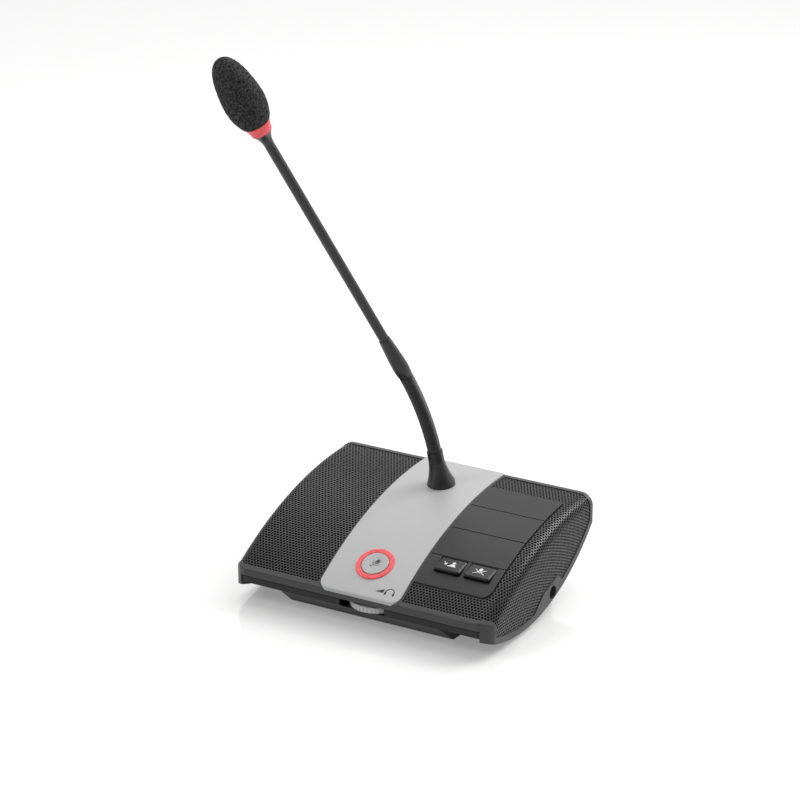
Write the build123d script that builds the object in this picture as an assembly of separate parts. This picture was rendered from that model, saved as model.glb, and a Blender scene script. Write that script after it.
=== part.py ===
from build123d import *
import math
import os

# Conference delegate unit: a desk housing with a crowned top, two perforated grilles,
# a silver centre panel, a key plate and a gooseneck microphone.
# Millimetres. X runs to the unit's right, Y to its back and Z up. The origin lies on the
# desk, under the middle of the housing.

# Housing, seen from the side
BODY_WIDTH = 190.0
BODY_DEPTH = 143.0
TOP_FRONT_HEIGHT = 25.0
TOP_BACK_HEIGHT = 62.8
TOP_CROWN = 10.9
RIM_FRONT_HEIGHT = 13.0
RIM_BACK_HEIGHT = 43.1
RIM_SAG = 22.5
NOSE_RADIUS = 2.4
SHOULDER_RADIUS = 8.5
FRONT_CORNER = 11.0
HOUSING_WALL = 2.8
FRONT_BAND = 3.0
BACK_BAND = 3.6
RIM_WIDTH = 4.4
CORNER_RADIUS = 3.0

# Parting of the upper housing and the base shell
PARTING_FRONT_HEIGHT = 20.0
PARTING_BACK_HEIGHT = 47.0
PARTING_GROOVE = 0.8
FRONT_STEP = 0.6
FLANGE_WIDTH = 7.0
SIDE_REACH = 1.0

# Base shell and the pedestal that it stands on
BASE_WALL = 2.4
PEDESTAL_FRONT_WIDTH = 118.0
PEDESTAL_BACK_WIDTH = 138.0
BAND_BOTTOM = 15.4
BAND_SAG = 23.7
PEDESTAL_TOE_DEPTH = 17.7
PEDESTAL_CORNER = 5.0
FOOT_DIAMETER = 12.0
FOOT_PROUD = 1.2
FOOT_RECESS = 1.0
FOOT_INSET = 20.0

# Fits
CLEARANCE = 0.3
FIT = 0.1
SEAT_GAP = 0.05
OVERRUN = 20.0

# Grilles
GRILLE_RECESS = 1.2
GRILLE_SHEET = 0.8
STRIP_WIDTH = 1.4

# Centre panel
PANEL_WIDTH = 59.0
PANEL_PROUD = 0.8
PANEL_SINK = 1.2
PANEL_LIP = 2.4
PANEL_NOSE = 1.8
PANEL_LIP_WALL = 1.2
PANEL_LIP_DEPTH = 7.0
PANEL_CORNER = 5.5
PANEL_BACK_CORNER = 1.5

# Microphone button and its light ring
BUTTON_FROM_FRONT = 23.0
RING_DIAMETER = 25.6
RING_BORE = 18.8
RING_PROUD = 1.5
RING_FLANGE = 3.0
RING_STEP = 1.0
RING_STEP_DEPTH = 2.6
RING_FLANGE_THICKNESS = 1.2
BUTTON_DIAMETER = 18.2
BUTTON_PROUD = 1.7
BUTTON_DISH = 0.5
BUTTON_TRAVEL = 0.8
STEM_DIAMETER = 5.0
STOP_THICKNESS = 1.0

# Key plate and its two keys
PLATE_SIDE = 10.0
PLATE_FRONT = 17.5
PLATE_BACK = 119.3
PLATE_PROUD = 0.5
PLATE_SINK = 1.4
PLATE_CORNER = 6.0
PLATE_SMALL_CORNER = 1.2
FIELD_LINES = (41.2, 67.0, 93.2)
LINE_WIDTH = 0.7
LINE_DEPTH = 0.5
KEY_LEFT_MARGIN = 8.8
KEY_RIGHT_MARGIN = 5.6
KEY_GAP = 3.2
KEY_DEPTH = 13.0
KEY_FROM_FRONT = 34.4
KEY_FRONT_RISE = 3.3
KEY_BACK_RISE = 0.8
KEY_CHAMFER = 0.9
KEY_TRAVEL = 1.0
KEY_CORNER = 1.4
KEY_SHELL = 1.4
KEY_LEDGE = 1.0

# Control board under the button and the keys
CONTROL_FROM_FRONT = 27.6
CONTROL_DEPTH = 12.4
CONTROL_BOARD = 1.2
CONTROL_LEFT = -17.0
CONTROL_SIDE = 11.0
CONTROL_LENGTH = 33.0
SWITCH_SIDE = 6.0
SWITCH_HEIGHT = 3.4
PLUNGER_DIAMETER = 3.4
PLUNGER_HEIGHT = 0.9
MAT_SHEET = 0.6
MAT_MARGIN = 4.0
DOME_DIAMETER = 10.4
LAMP_SIDE = 1.6
LAMP_HEIGHT = 0.9
LAMP_COUNT = 8
POST_DIAMETER = 6.0

# Gooseneck microphone
MIC_FROM_FRONT = 109.3
CONE_BASE_DIAMETER = 18.6
CONE_NECK_DIAMETER = 10.6
CONE_FLARE_HEIGHT = 17.0
CONE_HEIGHT = 24.5
CONE_FOOT = 1.6
BUSH_DIAMETER = 9.0
BUSH_FLANGE = 13.0
BUSH_FLANGE_THICKNESS = 1.5
BUSH_LENGTH = 9.0
NUT_WIDTH = 13.0
NUT_THICKNESS = 3.0
NECK_DIAMETER = 9.0
NECK_BORE = 3.0
NECK_JOINTS = 6
NECK_LINK = 11.2
CUP_RIM = 2.0
CUP_PLAY = 0.2
NECK_EXIT = 1.0
START_LEAN = 11.3
LEAN_ANGLE = 28.6
LEAN_HEADING = 40.0
RIB_COUNT = 4
RIB_DEPTH = 0.3
SLEEVE_DIAMETER = 10.6
SLEEVE_LENGTH = 33.0
SLEEVE_SHOULDER = 10.0
STEM_TUBE_DIAMETER = 6.7
STEM_TUBE_WALL = 0.9
STEM_LENGTH = 156.0
FLARE_LENGTH = 11.4
LIGHT_RING_BOTTOM = 13.7
LIGHT_RING_TOP = 17.2
LIGHT_RING_LENGTH = 6.6
CAPSULE_DIAMETER = 11.0
CAPSULE_WALL = 0.8
CAPSULE_LENGTH = 37.0
CAPSULE_SLOTS = 6
SLOT_WIDTH = 1.6
ELEMENT_THICKNESS = 4.0
FOAM_LENGTH = 49.5
FOAM_DIAMETER = 27.1
FOAM_WIDEST_SHARE = 0.31
FOAM_LOWER_SHARE = 0.395
FOAM_SPANS = 13

# Volume wheel under the front lip
WHEEL_X = 4.5
WHEEL_DIAMETER = 36.0
WHEEL_PROUD = 0.3
WHEEL_THICKNESS = 3.6
WHEEL_DROP = 1.7
WHEEL_NOTCHES = 40
NOTCH_DIAMETER = 0.9
SPINDLE_DIAMETER = 4.0
POT_SIDE = 9.6
POT_HEIGHT = 3.8
VOLUME_BOARD_WIDTH = 30.0
VOLUME_BOARD_LENGTH = 26.0
VOLUME_BOARD_HEIGHT = 7.4
VOLUME_BOARD_LEAD = 3.2
SLOT_LEFT = 18.5
SLOT_RIGHT = 15.0

# Headphone jack in the right side
JACK_FROM_FRONT = 87.2
JACK_HEIGHT = 14.4
JACK_HOLE = 9.0
JACK_HOLE_DEPTH = 3.0
JACK_BORE = 3.6
JACK_BARREL = 5.0
JACK_BODY_WIDTH = 8.0
JACK_BODY_HEIGHT = 5.2
JACK_BODY_LENGTH = 11.0
JACK_BORE_LENGTH = 13.5
BOSS_FOOT_FRONT = 59.1
BOSS_TOP_FRONT = 74.3
BOSS_TOP_BACK = 94.1
BOSS_FOOT_BACK = 102.1
BOSS_RISE = 12.0

# Network sockets at the back
PORT_WIDTH = 11.8
PORT_HEIGHT = 7.0
PORT_DEPTH = 13.0
PORT_PITCH = 16.4
SOCKET_WIDTH = 33.6
SOCKET_HEIGHT = 13.4
SOCKET_LENGTH = 21.0
PORT_FLOOR = 2.6

# Boards, weight and fixings in the base
BOARD_THICKNESS = 1.6
MAIN_BOARD_WIDTH = 100.0
MAIN_BOARD_FRONT = 60.0
MAIN_BOARD_BACK_GAP = 5.0
CHIP_SHARE = 0.23
BOARD_HEIGHT = 10.4
WEIGHT_GAP = 4.0
WEIGHT_LENGTH = 52.0
WEIGHT_THICKNESS = 4.0
WEIGHT_FRONT = 60.0
SCREW_DIAMETER = 3.0
SCREW_HEAD = 5.6
SCREW_HEAD_HEIGHT = 1.8
SCREW_LENGTH = 14.0
HEAD_WELL = 7.0
BOSS_DIAMETER = 8.0
BASE_BOSS_HEIGHT = 9.0
FRONT_SCREW_HALF = 35.0
FRONT_SCREW_FROM_FRONT = 53.5
SMALL_SCREW = 2.0
SMALL_HEAD = 3.6
SMALL_HEAD_HEIGHT = 1.3
SMALL_SCREW_LENGTH = 6.0

# Loudspeaker under the left grille
SPEAKER_SIDE_GAP = 6.5
SPEAKER_INNER_GAP = 3.6
SPEAKER_FROM_FRONT = 73.0
SPEAKER_FLANGE = 5.0
SPEAKER_DEPTH_BELOW = 7.5
GASKET_THICKNESS = 1.0
BASKET_FLANGE = 1.2
BASKET_DEPTH = 12.0
BASKET_WALL = 0.8
BASKET_FLOOR_SHARE = 0.5
MAGNET_SHARE = 0.56
MAGNET_THICKNESS = 7.0
CONE_SHEET = 0.8
CONE_DEPTH = 7.5
DUST_CAP_SHARE = 0.28
SPEAKER_SCREWS = 4
SPEAKER_SCREW_INSET = 2.1
RIB_WIDTH = 2.4
RIB_PITCH = 9.0


class SideArc:
    """A circular arc in the side view that crosses the housing from front to back."""

    def __init__(self, start, end, rise, bulge):
        chord = math.hypot(end[0] - start[0], end[1] - start[1])
        self.bulge = bulge
        self.radius = (chord**2 / 4 + rise**2) / (2 * rise)
        across = (-(end[1] - start[1]) / chord, (end[0] - start[0]) / chord)
        back_off = bulge * (self.radius - rise)
        self.centre = (
            (start[0] + end[0]) / 2 - across[0] * back_off,
            (start[1] + end[1]) / 2 - across[1] * back_off,
        )

    def moved_in(self, inset):
        """The same arc, moved towards the inside of the housing."""
        inner = SideArc.__new__(SideArc)
        inner.bulge, inner.centre, inner.radius = self.bulge, self.centre, self.radius - inset
        return inner

    def height(self, y):
        """Height of the arc above the desk at a depth."""
        return self.centre[1] + self.bulge * math.sqrt(self.radius**2 - (y - self.centre[0]) ** 2)

    def tilt(self, y):
        """Slope of the arc at a depth, in degrees, rising towards the back."""
        return math.degrees(math.asin(-self.bulge * (y - self.centre[0]) / self.radius))

    def edge(self, y_from, y_to):
        """The stretch of the arc between two depths, as an edge in the side view."""
        y_middle = (y_from + y_to) / 2
        return ThreePointArc(
            side_point(y_from, self.height(y_from)),
            side_point(y_middle, self.height(y_middle)),
            side_point(y_to, self.height(y_to)),
        )


def side_point(y, z):
    """A point of the side view, in the middle of the unit."""
    return (0, y, z)


FRONT = -BODY_DEPTH / 2
BACK = BODY_DEPTH / 2
HALF_WIDTH = BODY_WIDTH / 2
TUB_HALF = HALF_WIDTH - FLANGE_WIDTH - CLEARANCE
GRILLE_INNER = PANEL_WIDTH / 2 + STRIP_WIDTH
TOP = SideArc((FRONT, TOP_FRONT_HEIGHT), (BACK, TOP_BACK_HEIGHT), TOP_CROWN, 1)
RIM = SideArc((FRONT, RIM_FRONT_HEIGHT), (BACK, RIM_BACK_HEIGHT), RIM_SAG, -1)
BAND = SideArc((FRONT, BAND_BOTTOM), (BACK, RIM_BACK_HEIGHT), BAND_SAG, -1)
BUTTON_Y = FRONT + BUTTON_FROM_FRONT
KEY_Y = FRONT + KEY_FROM_FRONT
MIC_Y = FRONT + MIC_FROM_FRONT
WHEEL_Y = FRONT - WHEEL_PROUD + WHEEL_DIAMETER / 2
WHEEL_TOP = PARTING_FRONT_HEIGHT - WHEEL_DROP
WHEEL_FLOOR = WHEEL_TOP - WHEEL_THICKNESS
JACK_Y = FRONT + JACK_FROM_FRONT
PLATE_LEFT = GRILLE_INNER + FIT
PLATE_RIGHT = HALF_WIDTH - PLATE_SIDE
KEY_WIDTH = (PLATE_RIGHT - PLATE_LEFT - KEY_LEFT_MARGIN - KEY_GAP - KEY_RIGHT_MARGIN) / 2
KEY_PITCH = KEY_WIDTH + KEY_GAP
KEY_XS = (PLATE_LEFT + KEY_LEFT_MARGIN + KEY_WIDTH / 2, PLATE_RIGHT - KEY_RIGHT_MARGIN - KEY_WIDTH / 2)
CONTROL_RIGHT = HALF_WIDTH - CONTROL_SIDE
SPEAKER_INNER = GRILLE_INNER + SPEAKER_INNER_GAP
SPEAKER_DIAMETER = HALF_WIDTH - SPEAKER_SIDE_GAP - SPEAKER_INNER
SPEAKER_LEFT = -SPEAKER_INNER - SPEAKER_DIAMETER / 2
SPEAKER_OPENING = SPEAKER_DIAMETER - 2 * SPEAKER_FLANGE
SPEAKER_SCREW_CIRCLE = SPEAKER_DIAMETER - 2 * SPEAKER_SCREW_INSET
BASKET_FLOOR_DIAMETER = SPEAKER_DIAMETER * BASKET_FLOOR_SHARE
MAGNET_DIAMETER = SPEAKER_DIAMETER * MAGNET_SHARE
DUST_CAP_DIAMETER = SPEAKER_DIAMETER * DUST_CAP_SHARE
WEIGHT_WIDTH = MAIN_BOARD_WIDTH - 3 * POST_DIAMETER - 2 * WEIGHT_GAP
BOARD_ROOM = BODY_DEPTH - FRONT_STEP - SOCKET_LENGTH - MAIN_BOARD_FRONT
FLOOR_TOP = FOOT_PROUD + BASE_WALL
BOARD_TOP = BOARD_HEIGHT + BOARD_THICKNESS
JACK_SEAT = HALF_WIDTH - JACK_HOLE_DEPTH


def side_face(*edges):
    """A flat face in the side view, from edges that close a loop."""
    return Face(Wire(list(edges)))


def side_polygon(*points):
    """A flat face in the side view, from its corners."""
    return Face(Wire.make_polygon([side_point(y, z) for y, z in points], close=True))


def slab(face, x_from, x_to):
    """A side view face, stretched across the unit between two places."""
    return Pos(x_from, 0, 0) * extrude(face, amount=x_to - x_from, dir=(1, 0, 0))


def surface_plane(x, y, depth=0.0):
    """A plane that touches the crowned top, moved down into the housing by a depth."""
    lean = math.radians(TOP.tilt(y))
    normal = Vector(0, -math.sin(lean), math.cos(lean))
    origin = Vector(x, y, TOP.height(y)) - normal * depth
    return Plane(origin=origin, x_dir=(1, 0, 0), z_dir=normal)


def tube(plane, outer, inner, low, high):
    """A round tube that stands on a plane, between two heights over it."""
    ring = Circle(outer / 2) - Circle(inner / 2)
    return plane * Pos(0, 0, low) * extrude(ring, amount=high - low)


def rod(plane, diameter, low, high):
    """A round rod that stands on a plane, between two heights over it."""
    return plane * Pos(0, 0, low) * extrude(Circle(diameter / 2), amount=high - low)


def block(plane, width, length, low, high):
    """A rectangular block that stands on a plane, between two heights over it."""
    return plane * Pos(0, 0, low) * extrude(Rectangle(width, length), amount=high - low)


def lens_face(floor, inset):
    """The crowned outline in the side view over a hollow floor arc, moved in by a wall."""
    outline = side_face(
        Line(side_point(FRONT, floor.height(FRONT)), side_point(FRONT, TOP.height(FRONT))),
        TOP.edge(FRONT, BACK),
        Line(side_point(BACK, TOP.height(BACK)), side_point(BACK, floor.height(BACK))),
        floor.edge(BACK, FRONT),
    )
    if inset == 0:
        return outline
    return offset(outline, amount=-inset, kind=Kind.INTERSECTION)


def front_plan(grow):
    """The housing's outline from above with its round front corners, as a prism."""
    half, corner = HALF_WIDTH + grow, FRONT_CORNER + grow
    return plan_prism(-half, half, FRONT - grow, BACK + OVERRUN, (corner, corner, 0, 0))


def housing_lens(inset):
    """The crowned lens that the housing is made from, stretched across its width."""
    half = HALF_WIDTH - inset
    return slab(lens_face(RIM, inset), -half, half)


def cornered_lens(inset):
    """The crowned lens with its two upright front edges rounded, moved in by a wall."""
    lens = housing_lens(inset)
    corners = lens.edges().filter_by(Axis.Z).group_by(Axis.Y)[0]
    return fillet(corners, FRONT_CORNER - inset)


def housing_body(inset):
    """The housing as a solid with round shoulders and front corners, moved in by a wall."""
    lens = housing_lens(inset)
    crown_radius = TOP.radius - inset
    shoulders = [
        edge
        for edge in lens.edges().filter_by(GeomType.CIRCLE)
        if abs(edge.radius - crown_radius) < abs(TOP.radius - RIM.radius) / 4
    ]
    return fillet(shoulders, SHOULDER_RADIUS - inset) & cornered_lens(inset)


def housing_skin():
    """The housing's outside: the solid body with its nose rounded along the front."""
    lens = cornered_lens(0)
    nose = lens.edges().filter_by(Axis.X).group_by(Axis.Y)[0].sort_by(Axis.Z)[-1]
    return housing_body(0) & fillet(nose, NOSE_RADIUS)


def below_parting(drop):
    """Everything below the parting line in the side view, lowered by a groove."""
    low = -OVERRUN
    front, back = FRONT - OVERRUN, BACK + OVERRUN
    slope = (PARTING_BACK_HEIGHT - PARTING_FRONT_HEIGHT) / BODY_DEPTH
    return side_polygon(
        (front, low),
        (back, low),
        (back, PARTING_BACK_HEIGHT + slope * OVERRUN - drop),
        (front, PARTING_FRONT_HEIGHT - slope * OVERRUN - drop),
    )


def grille_window(shrink):
    """The grille's outline in the side view, open at the top and bounded by the rim below."""
    front, back = FRONT, BACK - BACK_BAND - shrink
    rim = RIM.moved_in(RIM_WIDTH + shrink)
    ceiling = TOP_BACK_HEIGHT + OVERRUN
    window = side_face(
        Line(side_point(front, rim.height(front)), side_point(front, ceiling)),
        Line(side_point(front, ceiling), side_point(back, ceiling)),
        Line(side_point(back, ceiling), side_point(back, rim.height(back))),
        rim.edge(back, front),
    )
    low_corners = window.vertices().sort_by(Axis.Z)[:2]
    return fillet(low_corners.sort_by(Axis.Y)[-1], CORNER_RADIUS)


def jack_boss_face(grow):
    """The raised part of the right rim round the headphone jack, with sloped ends."""
    front, back = FRONT + BOSS_FOOT_FRONT - grow, FRONT + BOSS_FOOT_BACK + grow
    top_front, top_back = FRONT + BOSS_TOP_FRONT - grow, FRONT + BOSS_TOP_BACK + grow
    foot, top = RIM.moved_in(RIM_WIDTH / 2), RIM.moved_in(BOSS_RISE + grow)
    return side_face(
        foot.edge(front, back),
        Line(side_point(back, foot.height(back)), side_point(top_back, top.height(top_back))),
        top.edge(top_back, top_front),
        Line(side_point(top_front, top.height(top_front)), side_point(front, foot.height(front))),
    )


def grille_zone(side, shrink):
    """The block of space that one grille fills, from the panel strip out past the side."""
    inner, outer = GRILLE_INNER + shrink, HALF_WIDTH + SIDE_REACH
    ends = (-outer, -inner) if side < 0 else (inner, outer)
    zone = slab(grille_window(shrink), *ends) & grille_plan(shrink)
    if side > 0:
        zone -= slab(jack_boss_face(shrink), HALF_WIDTH - FLANGE_WIDTH, outer)
    return zone


def grille_plan(shrink):
    """The grilles' outline from above, which follows the round front corners, as a prism."""
    return Pos(0, FRONT_BAND + SIDE_REACH, 0) * front_plan(SIDE_REACH - shrink)


def plan_prism(left, right, front, back, radii):
    """An upright prism over a rectangle whose corners are rounded in turn from the front left."""
    base = Pos((left + right) / 2, (front + back) / 2) * Rectangle(right - left, back - front)
    places = ((left, front), (right, front), (right, back), (left, back))
    for place, radius in zip(places, radii):
        if radius > 0:
            base = fillet(base.vertices().sort_by_distance(place)[0], radius)
    return extrude(base, amount=TOP_BACK_HEIGHT + OVERRUN)


def panel_prism(grow):
    """The centre panel's outline from above, as a prism."""
    half = PANEL_WIDTH / 2 + grow
    corner, back_corner = PANEL_CORNER + grow, PANEL_BACK_CORNER + grow
    return plan_prism(-half, half, FRONT - grow, BACK + grow,
                      (corner, corner, back_corner, back_corner))


def panel_skin(grow):
    """The panel's side view, grown by a gap: the crowned sheet and the turned-down lip."""
    top = TOP.moved_in(-PANEL_PROUD)
    bottom = TOP.moved_in(PANEL_SINK + grow)
    front, back = FRONT - grow, BACK + grow
    lip_back = FRONT + PANEL_LIP_DEPTH
    lip_floor = top.height(FRONT) - PANEL_LIP - grow
    skin = side_face(
        Line(side_point(front, lip_floor), side_point(front, top.height(front))),
        top.edge(front, back),
        Line(side_point(back, top.height(back)), side_point(back, bottom.height(back))),
        bottom.edge(back, lip_back),
        Line(side_point(lip_back, bottom.height(lip_back)), side_point(lip_back, lip_floor)),
        Line(side_point(lip_back, lip_floor), side_point(front, lip_floor)),
    )
    nose = skin.vertices().sort_by_distance(side_point(front, top.height(front)))[0]
    return fillet(nose, PANEL_NOSE + grow)


def under_crown(inset):
    """All the space under the crowned top, moved in by an inset, from front to back."""
    arc = TOP.moved_in(inset)
    return slab(side_face(
        Line(side_point(FRONT, 0), side_point(FRONT, arc.height(FRONT))),
        arc.edge(FRONT, BACK),
        Line(side_point(BACK, arc.height(BACK)), side_point(BACK, 0)),
        Line(side_point(BACK, 0), side_point(FRONT, 0)),
    ), -HALF_WIDTH, HALF_WIDTH)


def plate_prism(grow):
    """The key plate's outline from above, as a prism."""
    front, back = FRONT + PLATE_FRONT - grow, FRONT + PLATE_BACK + grow
    corner, small = PLATE_CORNER + grow, PLATE_SMALL_CORNER + grow
    return plan_prism(PLATE_LEFT - grow, PLATE_RIGHT + grow, front, back,
                      (small, corner, small, small))


def screw_places():
    """Where the four housing screws stand, from above."""
    back_half = PEDESTAL_BACK_WIDTH / 2 - BASE_WALL - BOSS_DIAMETER / 2 - CLEARANCE
    back = BACK - BASE_WALL - BOSS_DIAMETER
    rows = ((FRONT_SCREW_HALF, FRONT + FRONT_SCREW_FROM_FRONT), (back_half, back))
    return [(side * half, y) for half, y in rows for side in (-1, 1)]


def foot_places():
    """Where the four feet stand, from above."""
    front = FRONT + PEDESTAL_TOE_DEPTH + FOOT_DIAMETER
    back = BACK - BASE_WALL - BOSS_DIAMETER
    rows = ((PEDESTAL_FRONT_WIDTH / 2 - FOOT_INSET, front),
            (PEDESTAL_BACK_WIDTH / 2 - FOOT_INSET, back))
    return [(side * half, y) for half, y in rows for side in (-1, 1)]


def board_places():
    """Where the four standoffs of the main board stand, from above."""
    half = MAIN_BOARD_WIDTH / 2 - POST_DIAMETER
    front = FRONT + MAIN_BOARD_FRONT + POST_DIAMETER
    back = BACK - BASE_WALL - SOCKET_LENGTH
    return [(side * half, y) for y in (front, back) for side in (-1, 1)]


def volume_places():
    """Where the two standoffs of the volume board stand, from above."""
    half = VOLUME_BOARD_WIDTH / 2 - POST_DIAMETER / 2
    y = WHEEL_Y - VOLUME_BOARD_LEAD + VOLUME_BOARD_LENGTH - POST_DIAMETER
    return [(WHEEL_X - half, y), (WHEEL_X + half, y)]


def control_plane(depth=0.0):
    """The plane of the control board, which lies along the top under the keys."""
    middle = (CONTROL_LEFT + CONTROL_RIGHT) / 2
    return surface_plane(middle, FRONT + CONTROL_FROM_FRONT, CONTROL_DEPTH + depth)


def control_places():
    """Where the control board is screwed to its posts, along and across the board."""
    half_width = (CONTROL_RIGHT - CONTROL_LEFT) / 2 - POST_DIAMETER / 2
    half_length = CONTROL_LENGTH / 2 - POST_DIAMETER / 2
    return [(-half_width, half_length), (0, half_length), (half_width, -half_length)]


def speaker_plane(depth=0.0):
    """The loudspeaker's front plane."""
    return surface_plane(SPEAKER_LEFT, FRONT + SPEAKER_FROM_FRONT, SPEAKER_DEPTH_BELOW + depth)


def speaker_screw_places():
    """Where the speaker screws stand on the flange."""
    reach = SPEAKER_SCREW_CIRCLE / 2
    turns = [360 * (k + 0.5) / SPEAKER_SCREWS for k in range(SPEAKER_SCREWS)]
    return [(reach * math.cos(math.radians(a)), reach * math.sin(math.radians(a))) for a in turns]


def screw(plane, shank, head, head_height, length):
    """A screw whose head lies under a plane and whose shank goes up through it."""
    body = rod(plane, head, -head_height, 0) + rod(plane, shank, 0, length)
    socket = extrude(RegularPolygon(head / 4, 6), amount=head_height / 2)
    return body - plane * Pos(0, 0, -head_height) * socket


def jack_plane():
    """The mouth of the headphone jack: its axis points out of the right side."""
    return Plane(origin=(JACK_SEAT, JACK_Y, JACK_HEIGHT), x_dir=(0, 1, 0), z_dir=(1, 0, 0))


def make_upper_housing():
    """The cover: a moulded shell with grille recesses, a panel seat, bosses and rims."""
    skin = housing_skin()
    cavity = housing_body(HOUSING_WALL)
    core = housing_body(GRILLE_RECESS)
    shell = skin - cavity
    for side in (-1, 1):
        shell -= grille_zone(side, 0) - core
    shell -= plate_prism(FIT) - under_crown(PLATE_SINK)
    shell -= slab(panel_skin(SEAT_GAP), -HALF_WIDTH, HALF_WIDTH) & panel_prism(SEAT_GAP)
    under = slab(below_parting(0), -HALF_WIDTH + FLANGE_WIDTH, HALF_WIDTH - FLANGE_WIDTH)
    shell -= under
    boss = slab(jack_boss_face(0), HALF_WIDTH - FLANGE_WIDTH, HALF_WIDTH)
    shell += boss
    mouth = jack_plane()
    shell -= rod(mouth, JACK_HOLE, 0, OVERRUN)
    shell -= rod(mouth, JACK_BARREL + 2 * FIT, -OVERRUN, 0)
    keep = housing_body(HOUSING_WALL - SEAT_GAP)
    columns = []
    for x, y in screw_places():
        foot = FOOT_PROUD + BASE_BOSS_HEIGHT
        column = rod(Plane((x, y, foot)), BOSS_DIAMETER, 0, TOP_BACK_HEIGHT)
        columns.append((column & keep) - rod(Plane((x, y, foot)), SCREW_DIAMETER, 0, SCREW_LENGTH))
    for x, y in control_places():
        post = control_plane() * Pos(x, y, 0)
        column = rod(Plane(post), POST_DIAMETER, 0, CONTROL_DEPTH)
        columns.append((column & keep) - rod(Plane(post), SMALL_SCREW, 0, SMALL_SCREW_LENGTH))
    for column in columns:
        shell += column
    seat = speaker_plane()
    ring = tube(seat, SPEAKER_DIAMETER, SPEAKER_OPENING, 0, SPEAKER_DEPTH_BELOW)
    shell += ring & keep
    shell -= speaker_slots(core)
    for x, y in speaker_screw_places():
        pilot = Plane(seat * Pos(x, y, 0))
        shell -= rod(pilot, SMALL_SCREW + SEAT_GAP, 0, SMALL_SCREW_LENGTH - GASKET_THICKNESS)
    ring_plane = surface_plane(0, BUTTON_Y)
    shell -= rod(ring_plane, RING_DIAMETER + CLEARANCE, -OVERRUN, OVERRUN)
    shell -= rod(surface_plane(0, MIC_Y), BUSH_DIAMETER + CLEARANCE, -OVERRUN, OVERRUN)
    for x in KEY_XS:
        opening = block(surface_plane(x, KEY_Y), KEY_WIDTH + 2 * CLEARANCE,
                        KEY_DEPTH + 2 * CLEARANCE, -OVERRUN / 2, OVERRUN)
        shell -= opening
    return shell


def speaker_slots(core):
    """The slots in the cover over the loudspeaker, between ribs, inside the round opening."""
    seat = speaker_plane()
    slots = rod(seat, SPEAKER_OPENING, -SEAT_GAP, OVERRUN)
    count = int(SPEAKER_OPENING / RIB_PITCH)
    for k in range(-(count // 2), count // 2 + 1):
        slots -= seat * Pos(k * RIB_PITCH, 0, 0) * Box(RIB_WIDTH, SPEAKER_DIAMETER, OVERRUN * 3)
    clear = rod(seat, SPEAKER_OPENING, -SEAT_GAP, 0)
    return (slots & core) + clear


def pedestal_face(inset, raise_top):
    """The pedestal in the side view: a sloped toe, a flat floor and an upright back."""
    front, back = FRONT + FRONT_STEP, BACK - FRONT_STEP
    toe = FRONT + PEDESTAL_TOE_DEPTH
    slope = (PARTING_BACK_HEIGHT - PARTING_FRONT_HEIGHT) / BODY_DEPTH
    top_back = PARTING_BACK_HEIGHT - PARTING_GROOVE - slope * (BACK - back)
    top_front = PARTING_FRONT_HEIGHT - PARTING_GROOVE + slope * (front - FRONT)
    outline = side_polygon(
        (toe, FOOT_PROUD),
        (back, FOOT_PROUD),
        (back, top_back + raise_top),
        (front, top_front + raise_top),
        (front, BAND_BOTTOM),
    )
    if inset == 0:
        return outline
    return offset(outline, amount=-inset, kind=Kind.INTERSECTION)


def pedestal_plan(inset):
    """The pedestal from above: wider at the back, with round corners."""
    front_half = PEDESTAL_FRONT_WIDTH / 2 - inset
    back_half = PEDESTAL_BACK_WIDTH / 2 - inset
    front, back = FRONT + FRONT_STEP + inset, BACK - FRONT_STEP - inset
    corners = [(-front_half, front), (front_half, front), (back_half, back), (-back_half, back)]
    plan = make_face(Polyline(*corners, close=True))
    plan = fillet(plan.vertices(), PEDESTAL_CORNER - inset)
    return extrude(plan, amount=TOP_BACK_HEIGHT)


def tub(inset, raise_top):
    """The base shell's outer or inner form: the lower part of the lens and the pedestal."""
    half = TUB_HALF - inset
    lens_side = lens_face(BAND, inset) & below_parting(PARTING_GROOVE - raise_top)
    back = BACK - FRONT_STEP - inset
    reach = side_polygon((FRONT, 0), (back, 0), (back, TOP_BACK_HEIGHT), (FRONT, TOP_BACK_HEIGHT))
    lens = slab(lens_side & reach, -half, half) & front_plan(-FRONT_STEP - inset)
    pedestal = slab(pedestal_face(inset, raise_top), -half, half) & pedestal_plan(inset)
    return lens + pedestal


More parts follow.
